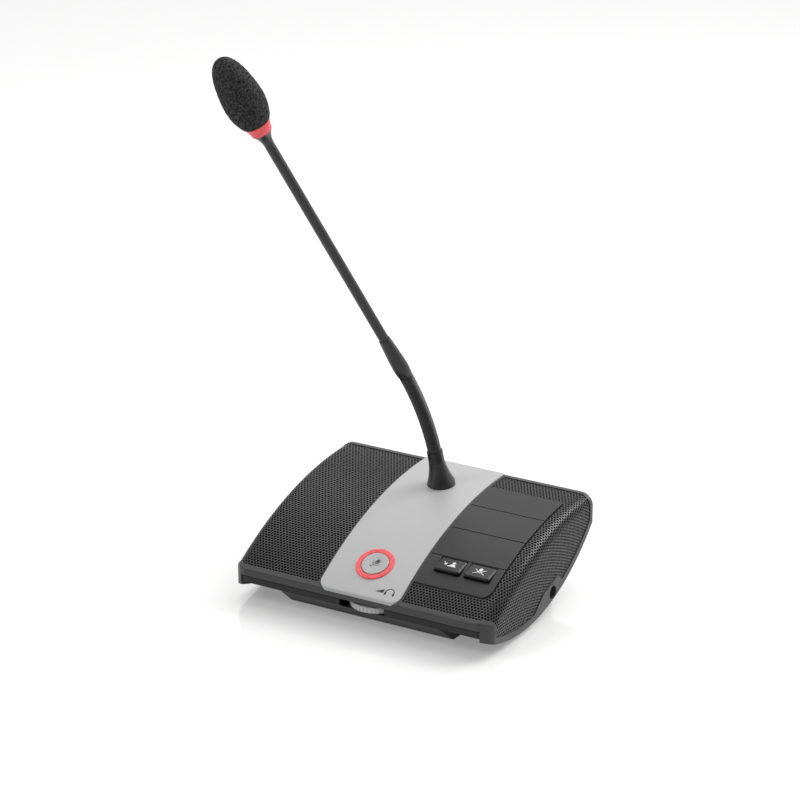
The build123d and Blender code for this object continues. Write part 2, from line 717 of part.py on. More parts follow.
def make_base_shell():
    """The lower tub: walls, floor, screw bosses, standoffs and the cut-outs in its walls."""
    outer = tub(0, 0)
    shell = outer - tub(BASE_WALL, OVERRUN / 4)
    for x, y in screw_places():
        shell += rod(Plane((x, y, FOOT_PROUD)), BOSS_DIAMETER, 0, BASE_BOSS_HEIGHT) & outer
    for x, y in board_places():
        shell += rod(Plane((x, y, 0)), POST_DIAMETER, FOOT_PROUD, BOARD_HEIGHT)
    for x, y in volume_places():
        shell += rod(Plane((x, y, 0)), POST_DIAMETER, FOOT_PROUD, VOLUME_BOARD_HEIGHT)
    for x, y in screw_places():
        well = SCREW_HEAD_HEIGHT + BASE_WALL
        shell -= rod(Plane((x, y, 0)), HEAD_WELL, 0, well)
        shell -= rod(Plane((x, y, 0)), SCREW_DIAMETER + CLEARANCE, 0, OVERRUN)
    for x, y in foot_places():
        shell -= rod(Plane((x, y, FOOT_PROUD)), FOOT_DIAMETER + 2 * FIT, -FOOT_PROUD, FOOT_RECESS)
    for places, top in ((board_places(), BOARD_HEIGHT), (volume_places(), VOLUME_BOARD_HEIGHT)):
        for x, y in places:
            shell -= rod(Plane((x, y, top)), SMALL_SCREW + SEAT_GAP, -SMALL_SCREW_LENGTH, 0)
    slot_half = (SLOT_LEFT + SLOT_RIGHT) / 2
    slot = block(Plane((WHEEL_X - SLOT_LEFT + slot_half, WHEEL_Y, 0)), 2 * slot_half,
                 WHEEL_DIAMETER + OVERRUN, WHEEL_FLOOR - CLEARANCE * 2, TOP_BACK_HEIGHT)
    shell -= slot & slab(below_parting(0), -HALF_WIDTH, HALF_WIDTH)
    window = block(Plane((0, BACK, BOARD_TOP)), SOCKET_WIDTH + 2 * FIT,
                   SOCKET_LENGTH, -FIT, SOCKET_HEIGHT + FIT)
    shell -= window
    return shell - jack_space(CLEARANCE)


def jack_space(grow):
    """The space of the headphone jack's body, behind the flange of the cover."""
    shoulder = JACK_HOLE_DEPTH - FLANGE_WIDTH
    return block(jack_plane(), JACK_BODY_WIDTH + 2 * grow, JACK_BODY_HEIGHT + 2 * grow,
                 shoulder - JACK_BODY_LENGTH - grow, shoulder + grow)


def make_grille(side):
    """A sheet grille that wraps from the top over the shoulder down to the rim."""
    outer_depth = GRILLE_RECESS - GRILLE_SHEET - SEAT_GAP
    sheet = housing_body(outer_depth) - housing_body(GRILLE_RECESS - SEAT_GAP)
    grille = sheet & grille_zone(side, FIT)
    if side > 0:
        grille -= plate_prism(2 * FIT)
    return grille


def make_centre_panel():
    """The silver panel: a crowned sheet with a lip turned down over the front."""
    panel = slab(panel_skin(0), -HALF_WIDTH, HALF_WIDTH) & panel_prism(0)
    panel -= under_crown(PANEL_SINK) & panel_prism(-PANEL_LIP_WALL)
    panel -= rod(surface_plane(0, BUTTON_Y), RING_DIAMETER + FIT, -OVERRUN, OVERRUN)
    return panel - rod(surface_plane(0, MIC_Y), BUSH_DIAMETER + FIT, -OVERRUN, OVERRUN)


def stop_height():
    """Height of the step in the light ring that keeps the button in."""
    return -RING_STEP_DEPTH


def make_button_light_ring():
    """The light ring: a collar with a soft top edge, an inner step and a flange below."""
    plane = surface_plane(0, BUTTON_Y)
    low = -HOUSING_WALL - ring_flange_drop() - RING_FLANGE_THICKNESS
    collar = Circle(RING_DIAMETER / 2) - Circle(RING_BORE / 2)
    collar = Pos(0, 0, low) * extrude(collar, amount=RING_PROUD - low)
    collar = fillet(collar.edges().group_by(Axis.Z)[-1], BUTTON_DISH)
    flange = Circle(RING_DIAMETER / 2 + RING_FLANGE) - Circle(RING_BORE / 2)
    ring = collar + Pos(0, 0, low) * extrude(flange, amount=RING_FLANGE_THICKNESS)
    step = Circle(RING_BORE / 2 + RING_STEP)
    return plane * (ring - Pos(0, 0, low) * extrude(step, amount=stop_height() - low))


def ring_flange_drop():
    """How far the crowned wall falls away under the edge of the ring's flat flange."""
    reach = RING_DIAMETER / 2 + RING_FLANGE
    radius = TOP.radius - HOUSING_WALL
    return radius - math.sqrt(radius**2 - reach**2) + SEAT_GAP


def control_height(x, y):
    """Height of the control board's top face under a place on the housing's top."""
    place = surface_plane(x, y)
    board = control_plane()
    return (board.origin - place.origin).dot(board.z_dir) / place.z_dir.dot(board.z_dir)


def control_seat(x, y):
    """The plane on the control board that lies straight under a place on the top."""
    place = surface_plane(x, y)
    foot = place.origin + place.z_dir * control_height(x, y)
    board = control_plane()
    return Plane(origin=foot, x_dir=board.x_dir, z_dir=board.z_dir)


def make_mic_button():
    """The round cap: a dished top, a skirt, a stop below the ring's step and a stem."""
    low = stop_height() - FIT - STOP_THICKNESS
    cap = extrude(Circle(BUTTON_DIAMETER / 2), amount=BUTTON_PROUD - low)
    cap = fillet(cap.edges().group_by(Axis.Z)[-1], BUTTON_DISH)
    hollow = Circle(BUTTON_DIAMETER / 2 - KEY_SHELL)
    cap -= extrude(hollow, amount=BUTTON_PROUD - low - KEY_SHELL - BUTTON_DISH)
    reach = BUTTON_DIAMETER / 2
    dish_radius = (reach**2 + BUTTON_DISH**2) / (2 * BUTTON_DISH)
    top = BUTTON_PROUD - low
    cap -= Pos(0, 0, top + dish_radius - BUTTON_DISH / 2) * Sphere(dish_radius)
    stop = Circle(BUTTON_DIAMETER / 2 + RING_STEP) - Circle(BUTTON_DIAMETER / 2 - KEY_SHELL)
    cap += extrude(stop, amount=STOP_THICKNESS)
    cap = Pos(0, 0, low) * cap
    stem_low = control_height(0, BUTTON_Y) + switch_top() + BUTTON_TRAVEL + CLEARANCE
    stem = extrude(Circle(STEM_DIAMETER / 2), amount=BUTTON_PROUD - KEY_SHELL - stem_low)
    return surface_plane(0, BUTTON_Y) * (cap + Pos(0, 0, stem_low) * stem)


def switch_top():
    """Height of a switch's plunger over the control board."""
    return SWITCH_HEIGHT + PLUNGER_HEIGHT


def make_switch(x, y):
    """A push switch on the control board: a square body with a round plunger."""
    seat = control_seat(x, y)
    body = block(seat, SWITCH_SIDE, SWITCH_SIDE, 0, SWITCH_HEIGHT)
    return body + rod(seat, PLUNGER_DIAMETER, SWITCH_HEIGHT, switch_top())


def make_control_board():
    """The board under the button and the keys, drilled for its screws."""
    width = CONTROL_RIGHT - CONTROL_LEFT
    board = block(control_plane(), width, CONTROL_LENGTH, -CONTROL_BOARD, 0)
    for x, y in control_places():
        hole = Plane(control_plane() * Pos(x, y, 0))
        board -= rod(hole, SMALL_SCREW + CLEARANCE, -OVERRUN, OVERRUN)
    return board


def make_control_screws():
    """The screws that hold the control board to the cover's posts, as a group."""
    screws = []
    for x, y in control_places():
        seat = Plane(control_plane() * Pos(x, y, -CONTROL_BOARD))
        length = CONTROL_BOARD + SMALL_SCREW_LENGTH - CLEARANCE
        screws.append(screw(seat, SMALL_SCREW, SMALL_HEAD, SMALL_HEAD_HEIGHT, length))
    return Compound(screws)


def make_ring_lamps():
    """The small lamps on the control board round the button's stem, as a group."""
    seat = control_seat(0, BUTTON_Y)
    reach = (RING_BORE + RING_DIAMETER) / 4
    lamps = []
    for k in range(LAMP_COUNT):
        turn = math.radians(360 * k / LAMP_COUNT)
        spot = Plane(seat * Pos(reach * math.cos(turn), reach * math.sin(turn), 0))
        lamps.append(block(spot, LAMP_SIDE, LAMP_SIDE, 0, LAMP_HEIGHT))
    return Compound(lamps)


def make_key_plate():
    """The key plate: a crowned plate with key openings and lines between its fields."""
    plate = (under_crown(-PLATE_PROUD) - under_crown(PLATE_SINK - SEAT_GAP)) & plate_prism(0)
    for x in KEY_XS:
        opening = block(surface_plane(x, KEY_Y), KEY_WIDTH + 2 * CLEARANCE,
                        KEY_DEPTH + 2 * CLEARANCE, -OVERRUN / 2, OVERRUN)
        plate -= opening
    middle = (PLATE_LEFT + PLATE_RIGHT) / 2
    for line in FIELD_LINES:
        plane = surface_plane(middle, FRONT + line, -PLATE_PROUD)
        plate -= block(plane, PLATE_RIGHT, LINE_WIDTH, -LINE_DEPTH, OVERRUN / 2)
    return plate


def key_floor():
    """Height of the underside of the cover where the keys' ledges rest against it."""
    reach = KEY_DEPTH / 2 + KEY_LEDGE + CLEARANCE
    radius = TOP.radius - HOUSING_WALL
    return -HOUSING_WALL - (radius - math.sqrt(radius**2 - reach**2)) - FIT


def make_key(x):
    """A wedge-shaped key: flush at its back edge, raised at its front, with a ledge below."""
    half = KEY_DEPTH / 2
    low = key_floor() - STOP_THICKNESS
    side = Polyline((0, -half, low), (0, half, low), (0, half, KEY_BACK_RISE),
                    (0, -half, KEY_FRONT_RISE), close=True)
    cap = extrude(make_face(side), amount=KEY_WIDTH / 2, both=True)
    cap = fillet(cap.edges().filter_by(Axis.Z), KEY_CORNER)
    cap = chamfer(cap.faces().sort_by(Axis.Z)[-1].edges(), KEY_CHAMFER)
    ledge = Rectangle(KEY_WIDTH + 2 * KEY_LEDGE, KEY_DEPTH + 2 * KEY_LEDGE)
    cap += Pos(0, 0, low) * extrude(ledge, amount=STOP_THICKNESS)
    hollow = Rectangle(KEY_WIDTH - 2 * KEY_SHELL, KEY_DEPTH - 2 * KEY_SHELL)
    cap -= Pos(0, 0, low) * extrude(hollow, amount=-low - KEY_SHELL)
    stem_low = control_height(x, KEY_Y) + mat_top() + KEY_TRAVEL + CLEARANCE
    stem = extrude(Circle(STEM_DIAMETER / 2), amount=-stem_low)
    return surface_plane(x, KEY_Y) * (cap + Pos(0, 0, stem_low) * stem)


def mat_top():
    """Height of the mat's domes over the control board."""
    return switch_top() + SEAT_GAP + MAT_SHEET


def make_key_mat():
    """The rubber mat on the control board, with a hollow dome over each key switch."""
    seat = control_seat(sum(KEY_XS) / 2, KEY_Y)
    mat = block(seat, KEY_PITCH + DOME_DIAMETER + 2 * MAT_MARGIN,
                DOME_DIAMETER + MAT_MARGIN, 0, MAT_SHEET)
    for x in KEY_XS:
        spot = control_seat(x, KEY_Y)
        mat += rod(spot, DOME_DIAMETER, 0, mat_top())
    for x in KEY_XS:
        spot = control_seat(x, KEY_Y)
        mat -= rod(spot, DOME_DIAMETER - 2 * MAT_SHEET, 0, mat_top() - MAT_SHEET)
    return mat


def leaning(angle):
    """The direction that leans from the upright by an angle, towards the microphone's heading."""
    lean, heading = math.radians(angle), math.radians(LEAN_HEADING)
    return Vector(-math.sin(lean) * math.sin(heading), -math.sin(lean) * math.cos(heading),
                  math.cos(lean))


def lean_directions():
    """The directions of the neck from its root to its stem, in equal turns."""
    start, end = leaning(START_LEAN), leaning(LEAN_ANGLE)
    axis = start.cross(end).normalized()
    whole = math.radians(start.get_angle(end))
    side = axis.cross(start)
    turns = [whole * k / NECK_JOINTS for k in range(NECK_JOINTS + 1)]
    return [start * math.cos(turn) + side * math.sin(turn) for turn in turns], axis


def neck_start():
    """The plane at the neck's foot: its origin on the centre panel, its Z along the cone."""
    directions, axis = lean_directions()
    root = surface_plane(0, MIC_Y, -PANEL_PROUD)
    return Plane(origin=root.origin, x_dir=axis, z_dir=directions[0])


def neck_planes():
    """The plane of each neck joint: its origin on the joint, its Z along the piece above."""
    directions, axis = lean_directions()
    root = neck_start()
    point = root.origin + root.z_dir * (CONE_HEIGHT + NECK_EXIT)
    planes = []
    for direction in directions[1:]:
        planes.append(Plane(origin=point, x_dir=axis, z_dir=direction))
        point = point + direction * NECK_LINK
    return planes


def spin(points):
    """A solid turned about its upright axis from corners given as radius and height."""
    outline = Polyline(*[(radius, 0, height) for radius, height in points], close=True)
    return revolve(make_face(outline), Axis.Z)


def neck_radius():
    """The radius of the flexible neck."""
    return NECK_DIAMETER / 2


def cup_space():
    """The space that a rounded link end needs, with its running clearance."""
    return Sphere(neck_radius() + CUP_PLAY)


def make_neck_link(plane):
    """One link of the neck: a cup below, a few grooves round it and a rounded top."""
    radius = neck_radius()
    groove_pitch = (NECK_LINK - CUP_RIM) / RIB_COUNT
    points = [(0, CUP_RIM)]
    for k in range(RIB_COUNT):
        low = CUP_RIM + k * groove_pitch
        points += [(radius, low), (radius, low + groove_pitch / 2)]
        points += [(radius - RIB_DEPTH, low + groove_pitch / 2)]
        points += [(radius - RIB_DEPTH, low + groove_pitch)]
    points += [(0, NECK_LINK)]
    link = spin(points) + Pos(0, 0, NECK_LINK) * Sphere(radius)
    link -= cup_space()
    return plane * (link - Cylinder(NECK_BORE / 2, NECK_LINK * 4))


def make_neck_root():
    """The bush that carries the neck: thread, flange, post and the first rounded end."""
    seat, start = surface_plane(0, MIC_Y, -PANEL_PROUD), neck_start()
    joint, length = CONE_HEIGHT + NECK_EXIT, BUSH_LENGTH + PANEL_PROUD
    root = rod(start, NECK_DIAMETER, 0, joint) + start * Pos(0, 0, joint) * Sphere(neck_radius())
    root += rod(seat, BUSH_FLANGE, 0, BUSH_FLANGE_THICKNESS)
    root += rod(seat, BUSH_DIAMETER, -length, 0)
    root -= rod(start, NECK_BORE, 0, 2 * joint)
    return root - rod(seat, NECK_BORE, -2 * length, BUSH_FLANGE_THICKNESS)


def make_neck_nut():
    """The hexagon nut that pulls the bush down onto the cover."""
    reach = NUT_WIDTH / 2
    radius = TOP.radius - HOUSING_WALL
    drop = HOUSING_WALL + radius - math.sqrt(radius**2 - reach**2)
    nut = RegularPolygon(NUT_WIDTH / 2, 6, major_radius=False) - Circle(BUSH_DIAMETER / 2 + FIT / 2)
    nut = extrude(nut, amount=NUT_THICKNESS)
    return surface_plane(0, MIC_Y) * Pos(0, 0, -drop - NUT_THICKNESS) * nut


def make_cone_collar():
    """The cone at the neck's foot: a flared skirt and a short straight collar."""
    foot, neck = CONE_BASE_DIAMETER / 2, CONE_NECK_DIAMETER / 2
    bore, seat = neck_radius() + FIT, surface_plane(0, MIC_Y, -PANEL_PROUD)
    waist = (neck + (foot - neck) / 4, CONE_FOOT + (CONE_FLARE_HEIGHT - CONE_FOOT) * 3 / 5)
    outline = [
        Line((bore, 0, -CONE_FOOT), (foot, 0, -CONE_FOOT)),
        Line((foot, 0, -CONE_FOOT), (foot, 0, CONE_FOOT)),
        ThreePointArc((foot, 0, CONE_FOOT), (waist[0], 0, waist[1]), (neck, 0, CONE_FLARE_HEIGHT)),
        Line((neck, 0, CONE_FLARE_HEIGHT), (neck, 0, CONE_HEIGHT)),
        Line((neck, 0, CONE_HEIGHT), (bore, 0, CONE_HEIGHT)),
        Line((bore, 0, CONE_HEIGHT), (bore, 0, -CONE_FOOT)),
    ]
    cone = neck_start() * revolve(Face(Wire(outline)), Axis.Z)
    cone -= rod(seat, 2 * CONE_BASE_DIAMETER, -CONE_HEIGHT, SEAT_GAP)
    return cone - rod(seat, BUSH_FLANGE + 2 * FIT, 0, BUSH_FLANGE_THICKNESS + FIT)


def stem_start():
    """Height of the stem tube's lower end over the last neck joint."""
    return SLEEVE_LENGTH - 2 * SLEEVE_DIAMETER / 2


def make_neck_sleeve():
    """The sleeve between the flexible neck and the stem: a cup, a swell and a long taper."""
    top = SLEEVE_LENGTH
    swell, slim = SLEEVE_DIAMETER / 2, STEM_TUBE_DIAMETER / 2 + STEM_TUBE_WALL / 2
    middle = ((swell + slim) / 2 + (swell - slim) / 8, (SLEEVE_SHOULDER + top) / 2)
    rise = (neck_radius() + swell) / 2 + (swell - neck_radius()) / 4
    outline = [
        Line((0, 0, CUP_RIM), (neck_radius(), 0, CUP_RIM)),
        ThreePointArc((neck_radius(), 0, CUP_RIM), (rise, 0, (CUP_RIM + SLEEVE_SHOULDER) / 2),
                      (swell, 0, SLEEVE_SHOULDER)),
        ThreePointArc((swell, 0, SLEEVE_SHOULDER), (middle[0], 0, middle[1]), (slim, 0, top)),
        Line((slim, 0, top), (0, 0, top)),
        Line((0, 0, top), (0, 0, CUP_RIM)),
    ]
    sleeve = revolve(Face(Wire(outline)), Axis.Z) - cup_space()
    sleeve -= Cylinder(NECK_BORE / 2, top * 4)
    socket = Circle(STEM_TUBE_DIAMETER / 2 + SEAT_GAP)
    sleeve -= Pos(0, 0, stem_start() - SEAT_GAP) * extrude(socket, amount=top)
    return neck_planes()[-1] * sleeve


def stem_end():
    """Height of the stem tube's upper end over the last neck joint."""
    return SLEEVE_LENGTH + STEM_LENGTH


def make_stem_tube():
    """The straight slim tube."""
    wall = Circle(STEM_TUBE_DIAMETER / 2) - Circle(STEM_TUBE_DIAMETER / 2 - STEM_TUBE_WALL)
    stem = extrude(wall, amount=stem_end() - stem_start())
    return neck_planes()[-1] * Pos(0, 0, stem_start()) * stem


def ring_start():
    """Height of the light ring's lower face over the last neck joint."""
    return stem_end() + FLARE_LENGTH


def ring_end():
    """Height of the light ring's upper face over the last neck joint."""
    return ring_start() + LIGHT_RING_LENGTH


def make_capsule_neck():
    """The flare that opens from the stem to the ring, with a spigot at each end."""
    slim, wide = STEM_TUBE_DIAMETER / 2, LIGHT_RING_BOTTOM / 2
    low, high = stem_end() + SEAT_GAP, ring_start() - SEAT_GAP
    spigot = STEM_TUBE_DIAMETER / 2 - STEM_TUBE_WALL - SEAT_GAP
    waist = (slim + (wide - slim) / 4, low + (high - low) * 3 / 5)
    outline = [
        Line((0, 0, low), (slim, 0, low)),
        ThreePointArc((slim, 0, low), (waist[0], 0, waist[1]), (wide, 0, high)),
        Line((wide, 0, high), (0, 0, high)),
        Line((0, 0, high), (0, 0, low)),
    ]
    flare = revolve(Face(Wire(outline)), Axis.Z)
    flare += Pos(0, 0, low - SLEEVE_SHOULDER) * extrude(Circle(spigot), amount=SLEEVE_SHOULDER)
    post = ring_end() - SEAT_GAP - high
    flare += Pos(0, 0, high) * extrude(Circle(CAPSULE_DIAMETER / 2 - CAPSULE_WALL), amount=post)
    return neck_planes()[-1] * flare


def make_mic_light_ring():
    """The translucent ring between the flare and the foam, wider at its top."""
    bore = CAPSULE_DIAMETER / 2 - CAPSULE_WALL + SEAT_GAP
    ring = spin([
        (bore, ring_start()),
        (LIGHT_RING_BOTTOM / 2, ring_start()),
        (LIGHT_RING_TOP / 2, ring_end()),
        (bore, ring_end()),
    ])
    return neck_planes()[-1] * ring


def make_mic_capsule():
    """The capsule's metal tube with a closed round end and a row of sound slots."""
    low = ring_end() + SEAT_GAP
    tube_length = CAPSULE_LENGTH - CAPSULE_DIAMETER / 2
    outer = extrude(Circle(CAPSULE_DIAMETER / 2), amount=tube_length)
    outer += Pos(0, 0, tube_length) * Sphere(CAPSULE_DIAMETER / 2)
    inner = CAPSULE_DIAMETER / 2 - CAPSULE_WALL
    hollow = extrude(Circle(inner), amount=tube_length) + Pos(0, 0, tube_length) * Sphere(inner)
    body = outer - Pos(0, 0, CAPSULE_WALL) * hollow
    slot_height = CAPSULE_LENGTH / 4
    for k in range(CAPSULE_SLOTS):
        slot = Rot(0, 0, 360 * k / CAPSULE_SLOTS) * Pos(CAPSULE_DIAMETER / 2, 0, tube_length / 2)
        body -= slot * Box(CAPSULE_DIAMETER / 2, SLOT_WIDTH, slot_height)
    return neck_planes()[-1] * Pos(0, 0, low) * body


def make_capsule_element():
    """The electret element, a disc held across the capsule above its slots."""
    height = ring_end() + CAPSULE_LENGTH / 2 + CAPSULE_LENGTH / 6
    disc = extrude(Circle(CAPSULE_DIAMETER / 2 - CAPSULE_WALL - SEAT_GAP), amount=ELEMENT_THICKNESS)
    return neck_planes()[-1] * Pos(0, 0, height) * disc


def egg_side():
    """The side of the egg from its cut-off foot to its tip: parts of two ellipses."""
    widest, below = FOAM_LENGTH * FOAM_WIDEST_SHARE, FOAM_LENGTH * FOAM_LOWER_SHARE
    first = -math.asin(widest / below)
    points = []
    for k in range(FOAM_SPANS):
        turn = first + (math.pi / 2 - first) * k / FOAM_SPANS
        reach = below if turn < 0 else FOAM_LENGTH - widest
        points.append((math.cos(turn) * FOAM_DIAMETER / 2, widest + math.sin(turn) * reach))
    return Spline(*points, (0, FOAM_LENGTH))


def make_foam_windshield():
    """The egg-shaped foam, pushed over the capsule down to the light ring."""
    side = egg_side()
    bore, straight = CAPSULE_DIAMETER / 2 + FIT, CAPSULE_LENGTH - CAPSULE_DIAMETER / 2
    mouth = Polyline(side @ 0, (bore, 0), (bore, straight))
    end = CenterArc((0, straight), bore, 0, 90)
    profile = make_face([side, mouth, end, Line(end @ 1, side @ 1)])
    foam = Rot(90, 0, 0) * revolve(profile, Axis.Y)
    return neck_planes()[-1] * Pos(0, 0, ring_end() + SEAT_GAP) * foam


def make_volume_wheel():
    """The thumbwheel: a disc with a notched rim and a hub on the spindle."""
    wheel = extrude(Circle(WHEEL_DIAMETER / 2), amount=WHEEL_THICKNESS)
    notch = extrude(Circle(NOTCH_DIAMETER / 2), amount=WHEEL_THICKNESS)
    for k in range(WHEEL_NOTCHES):
        wheel -= Rot(0, 0, 360 * k / WHEEL_NOTCHES) * Pos(WHEEL_DIAMETER / 2, 0, 0) * notch
    wheel -= extrude(Circle(SPINDLE_DIAMETER / 2 + SEAT_GAP), amount=WHEEL_THICKNESS)
    return Pos(WHEEL_X, WHEEL_Y, WHEEL_FLOOR) * wheel


def volume_board_top():
    """Height of the volume board's top face."""
    return VOLUME_BOARD_HEIGHT + BOARD_THICKNESS


def make_volume_spindle():
    """The spindle that the wheel turns, set in the potentiometer."""
    low = volume_board_top() + POT_HEIGHT / 2
    return rod(Plane((WHEEL_X, WHEEL_Y, 0)), SPINDLE_DIAMETER, low, WHEEL_TOP)


def make_volume_pot():
    """The potentiometer body with its spindle bore."""
    low = volume_board_top()
    seat = Plane((WHEEL_X, WHEEL_Y, 0))
    body = block(seat, POT_SIDE, POT_SIDE, low, low + POT_HEIGHT)
    collar_top = WHEEL_FLOOR - CLEARANCE
    body += rod(seat, SPINDLE_DIAMETER * 3 / 2, low + POT_HEIGHT, collar_top)
    bore_low = low + POT_HEIGHT / 2 - FIT
    return body - rod(seat, SPINDLE_DIAMETER + 2 * FIT, bore_low, collar_top)


def make_volume_board():
    """The small board that carries the potentiometer."""
    front = WHEEL_Y - VOLUME_BOARD_LEAD
    board = Pos(WHEEL_X, front + VOLUME_BOARD_LENGTH / 2, VOLUME_BOARD_HEIGHT) * extrude(
        Rectangle(VOLUME_BOARD_WIDTH, VOLUME_BOARD_LENGTH), amount=BOARD_THICKNESS)
    for x, y in volume_places():
        board -= rod(Plane((x, y, 0)), SMALL_SCREW + CLEARANCE, 0, OVERRUN)
    return board


def make_board_screws():
    """The screws of the main board and the volume board, as a group."""
    screws = []
    tops = [(place, BOARD_TOP) for place in board_places()]
    tops += [(place, volume_board_top()) for place in volume_places()]
    for (x, y), top in tops:
        seat = Plane(origin=(x, y, top), x_dir=(1, 0, 0), z_dir=(0, 0, -1))
        screws.append(screw(seat, SMALL_SCREW, SMALL_HEAD, SMALL_HEAD_HEIGHT, SMALL_SCREW_LENGTH))
    return Compound(screws)


def make_main_board():
    """The main board in the pedestal, drilled over its standoffs."""
    front, back = FRONT + MAIN_BOARD_FRONT, BACK - MAIN_BOARD_BACK_GAP
    board = Pos(0, (front + back) / 2, BOARD_HEIGHT) * extrude(
        Rectangle(MAIN_BOARD_WIDTH, back - front), amount=BOARD_THICKNESS)
    for x, y in board_places():
        board -= rod(Plane((x, y, 0)), SMALL_SCREW + CLEARANCE, 0, OVERRUN)
    return board


def make_board_chips():
    """The parts on the main board: processor, coils, capacitors and plugs, as a group."""
    seat = Plane((0, FRONT + MAIN_BOARD_FRONT, BOARD_TOP))
    chip = BOARD_ROOM * CHIP_SHARE
    chips = [
        block(Plane(seat * Pos(0, chip * 2, 0)), chip, chip, 0, BOARD_THICKNESS),
        block(Plane(seat * Pos(-chip * 2, chip, 0)), chip / 2, chip, 0, BOARD_THICKNESS),
        block(Plane(seat * Pos(chip * 2, chip, 0)), chip, chip / 2, 0, BOARD_THICKNESS * 4),
        rod(Plane(seat * Pos(-chip * 2, chip * 3, 0)), chip / 2, 0, chip * 3 / 4),
        rod(Plane(seat * Pos(-chip, chip * 3, 0)), chip / 2, 0, chip * 3 / 4),
        block(Plane(seat * Pos(chip * 2, chip * 3, 0)), chip, chip, 0, chip / 2),
    ]
    return Compound(chips)


def make_network_sockets():
    """The two-port socket block: each port is open to the back and keyed for its latch."""
    back = BACK - FRONT_STEP
    body = Pos(0, back - SOCKET_LENGTH / 2, BOARD_TOP) * extrude(
        Rectangle(SOCKET_WIDTH, SOCKET_LENGTH), amount=SOCKET_HEIGHT)
    for side in (-1, 1):
        port = Rectangle(PORT_WIDTH, PORT_HEIGHT)
        latch = Pos(0, PORT_HEIGHT / 2) * Rectangle(PORT_WIDTH / 2, PORT_FLOOR)
        mouth = Plane(
            origin=(side * PORT_PITCH / 2, back, BOARD_TOP + PORT_FLOOR + PORT_HEIGHT / 2),
            x_dir=(-1, 0, 0),
            z_dir=(0, 1, 0),
        )
        body -= mouth * Pos(0, 0, -PORT_DEPTH) * extrude(port + latch, amount=PORT_DEPTH)
    return body


def make_headphone_jack():
    """The 3.5 mm jack: a barrel through the side wall and a body behind it."""
    mouth = jack_plane()
    jack = jack_space(0) + rod(mouth, JACK_BARREL, JACK_HOLE_DEPTH - FLANGE_WIDTH, 0)
    return jack - rod(mouth, JACK_BORE, -JACK_BORE_LENGTH, 0)


def make_speaker_gasket():
    """The foam ring between the cover and the loudspeaker."""
    seat = speaker_plane()
    gasket = tube(seat, SPEAKER_DIAMETER, SPEAKER_OPENING, -GASKET_THICKNESS, 0)
    for x, y in speaker_screw_places():
        gasket -= rod(Plane(seat * Pos(x, y, 0)), SMALL_SCREW + CLEARANCE, -OVERRUN, OVERRUN)
    return gasket


def make_speaker_basket():
    """The pressed basket: a flat flange, a cone with windows and a floor for the magnet."""
    seat = speaker_plane(GASKET_THICKNESS)
    rim, floor = SPEAKER_OPENING / 2, BASKET_FLOOR_DIAMETER / 2
    flange_low, low = -BASKET_FLANGE, -BASKET_DEPTH
    basket = spin([
        (SPEAKER_DIAMETER / 2, 0),
        (SPEAKER_DIAMETER / 2, flange_low),
        (rim + BASKET_WALL, flange_low),
        (floor + BASKET_WALL, low),
        (DUST_CAP_DIAMETER / 2, low),
        (DUST_CAP_DIAMETER / 2, low + BASKET_WALL),
        (floor, low + BASKET_WALL),
        (rim, flange_low),
        (rim, 0),
    ])
    window_height = BASKET_DEPTH / 2
    for k in range(SPEAKER_SCREWS):
        turn = Rot(0, 0, 360 * k / SPEAKER_SCREWS)
        basket -= turn * Pos((rim + floor) / 2, 0, -BASKET_DEPTH / 2) * Box(
            floor, floor, window_height)
    basket = seat * basket
    for x, y in speaker_screw_places():
        basket -= rod(Plane(seat * Pos(x, y, 0)), SMALL_SCREW + CLEARANCE, -OVERRUN, OVERRUN)
    return basket


def make_speaker_cone():
    """The paper cone with its rolled edge and dust cap."""
    seat = speaker_plane(GASKET_THICKNESS)
    rim, cap = SPEAKER_OPENING / 2 - SEAT_GAP, DUST_CAP_DIAMETER / 2
    cone = spin([
        (rim, 0),
        (rim, -CONE_SHEET),
        (rim - 2 * CONE_SHEET, -CONE_SHEET),
        (cap, -CONE_DEPTH),
        (0, -CONE_DEPTH),
        (0, -CONE_DEPTH + 3 * CONE_SHEET),
        (cap / 2, -CONE_DEPTH + 3 * CONE_SHEET - CONE_SHEET / 2),
        (cap, -CONE_DEPTH + CONE_SHEET),
        (rim - 2 * CONE_SHEET, 0),
    ])
    return seat * cone


def make_speaker_magnet():
    """The magnet with its plates and the pole under the basket."""
    seat = speaker_plane(GASKET_THICKNESS + BASKET_DEPTH)
    magnet = rod(seat, MAGNET_DIAMETER, -MAGNET_THICKNESS, 0)
    return chamfer(magnet.edges().filter_by(GeomType.CIRCLE), BASKET_WALL)


def make_speaker_screws():
    """The screws that hold the loudspeaker, as a group."""
    seat = speaker_plane(GASKET_THICKNESS + BASKET_FLANGE)
    length = BASKET_FLANGE + SMALL_SCREW_LENGTH - GASKET_THICKNESS
    screws = []
    for x, y in speaker_screw_places():
        spot = Plane(seat * Pos(x, y, 0))
        screws.append(screw(spot, SMALL_SCREW, SMALL_HEAD, SMALL_HEAD_HEIGHT, length))
    return Compound(screws)


def make_weight_plate():
    """The steel plate on the floor of the base that keeps the unit down."""
    plate = RectangleRounded(WEIGHT_WIDTH, WEIGHT_LENGTH, PEDESTAL_CORNER)
    middle = FRONT + WEIGHT_FRONT + WEIGHT_LENGTH / 2
    return Pos(0, middle, FLOOR_TOP) * extrude(plate, amount=WEIGHT_THICKNESS)


def make_rubber_feet():
    """The four rubber feet in their recesses, as a group."""
    feet = []
    for x, y in foot_places():
        foot = rod(Plane((x, y, 0)), FOOT_DIAMETER, 0, FOOT_PROUD + FOOT_RECESS)
        feet.append(chamfer(foot.edges().group_by(Axis.Z)[0], FOOT_PROUD / 3))
    return Compound(feet)


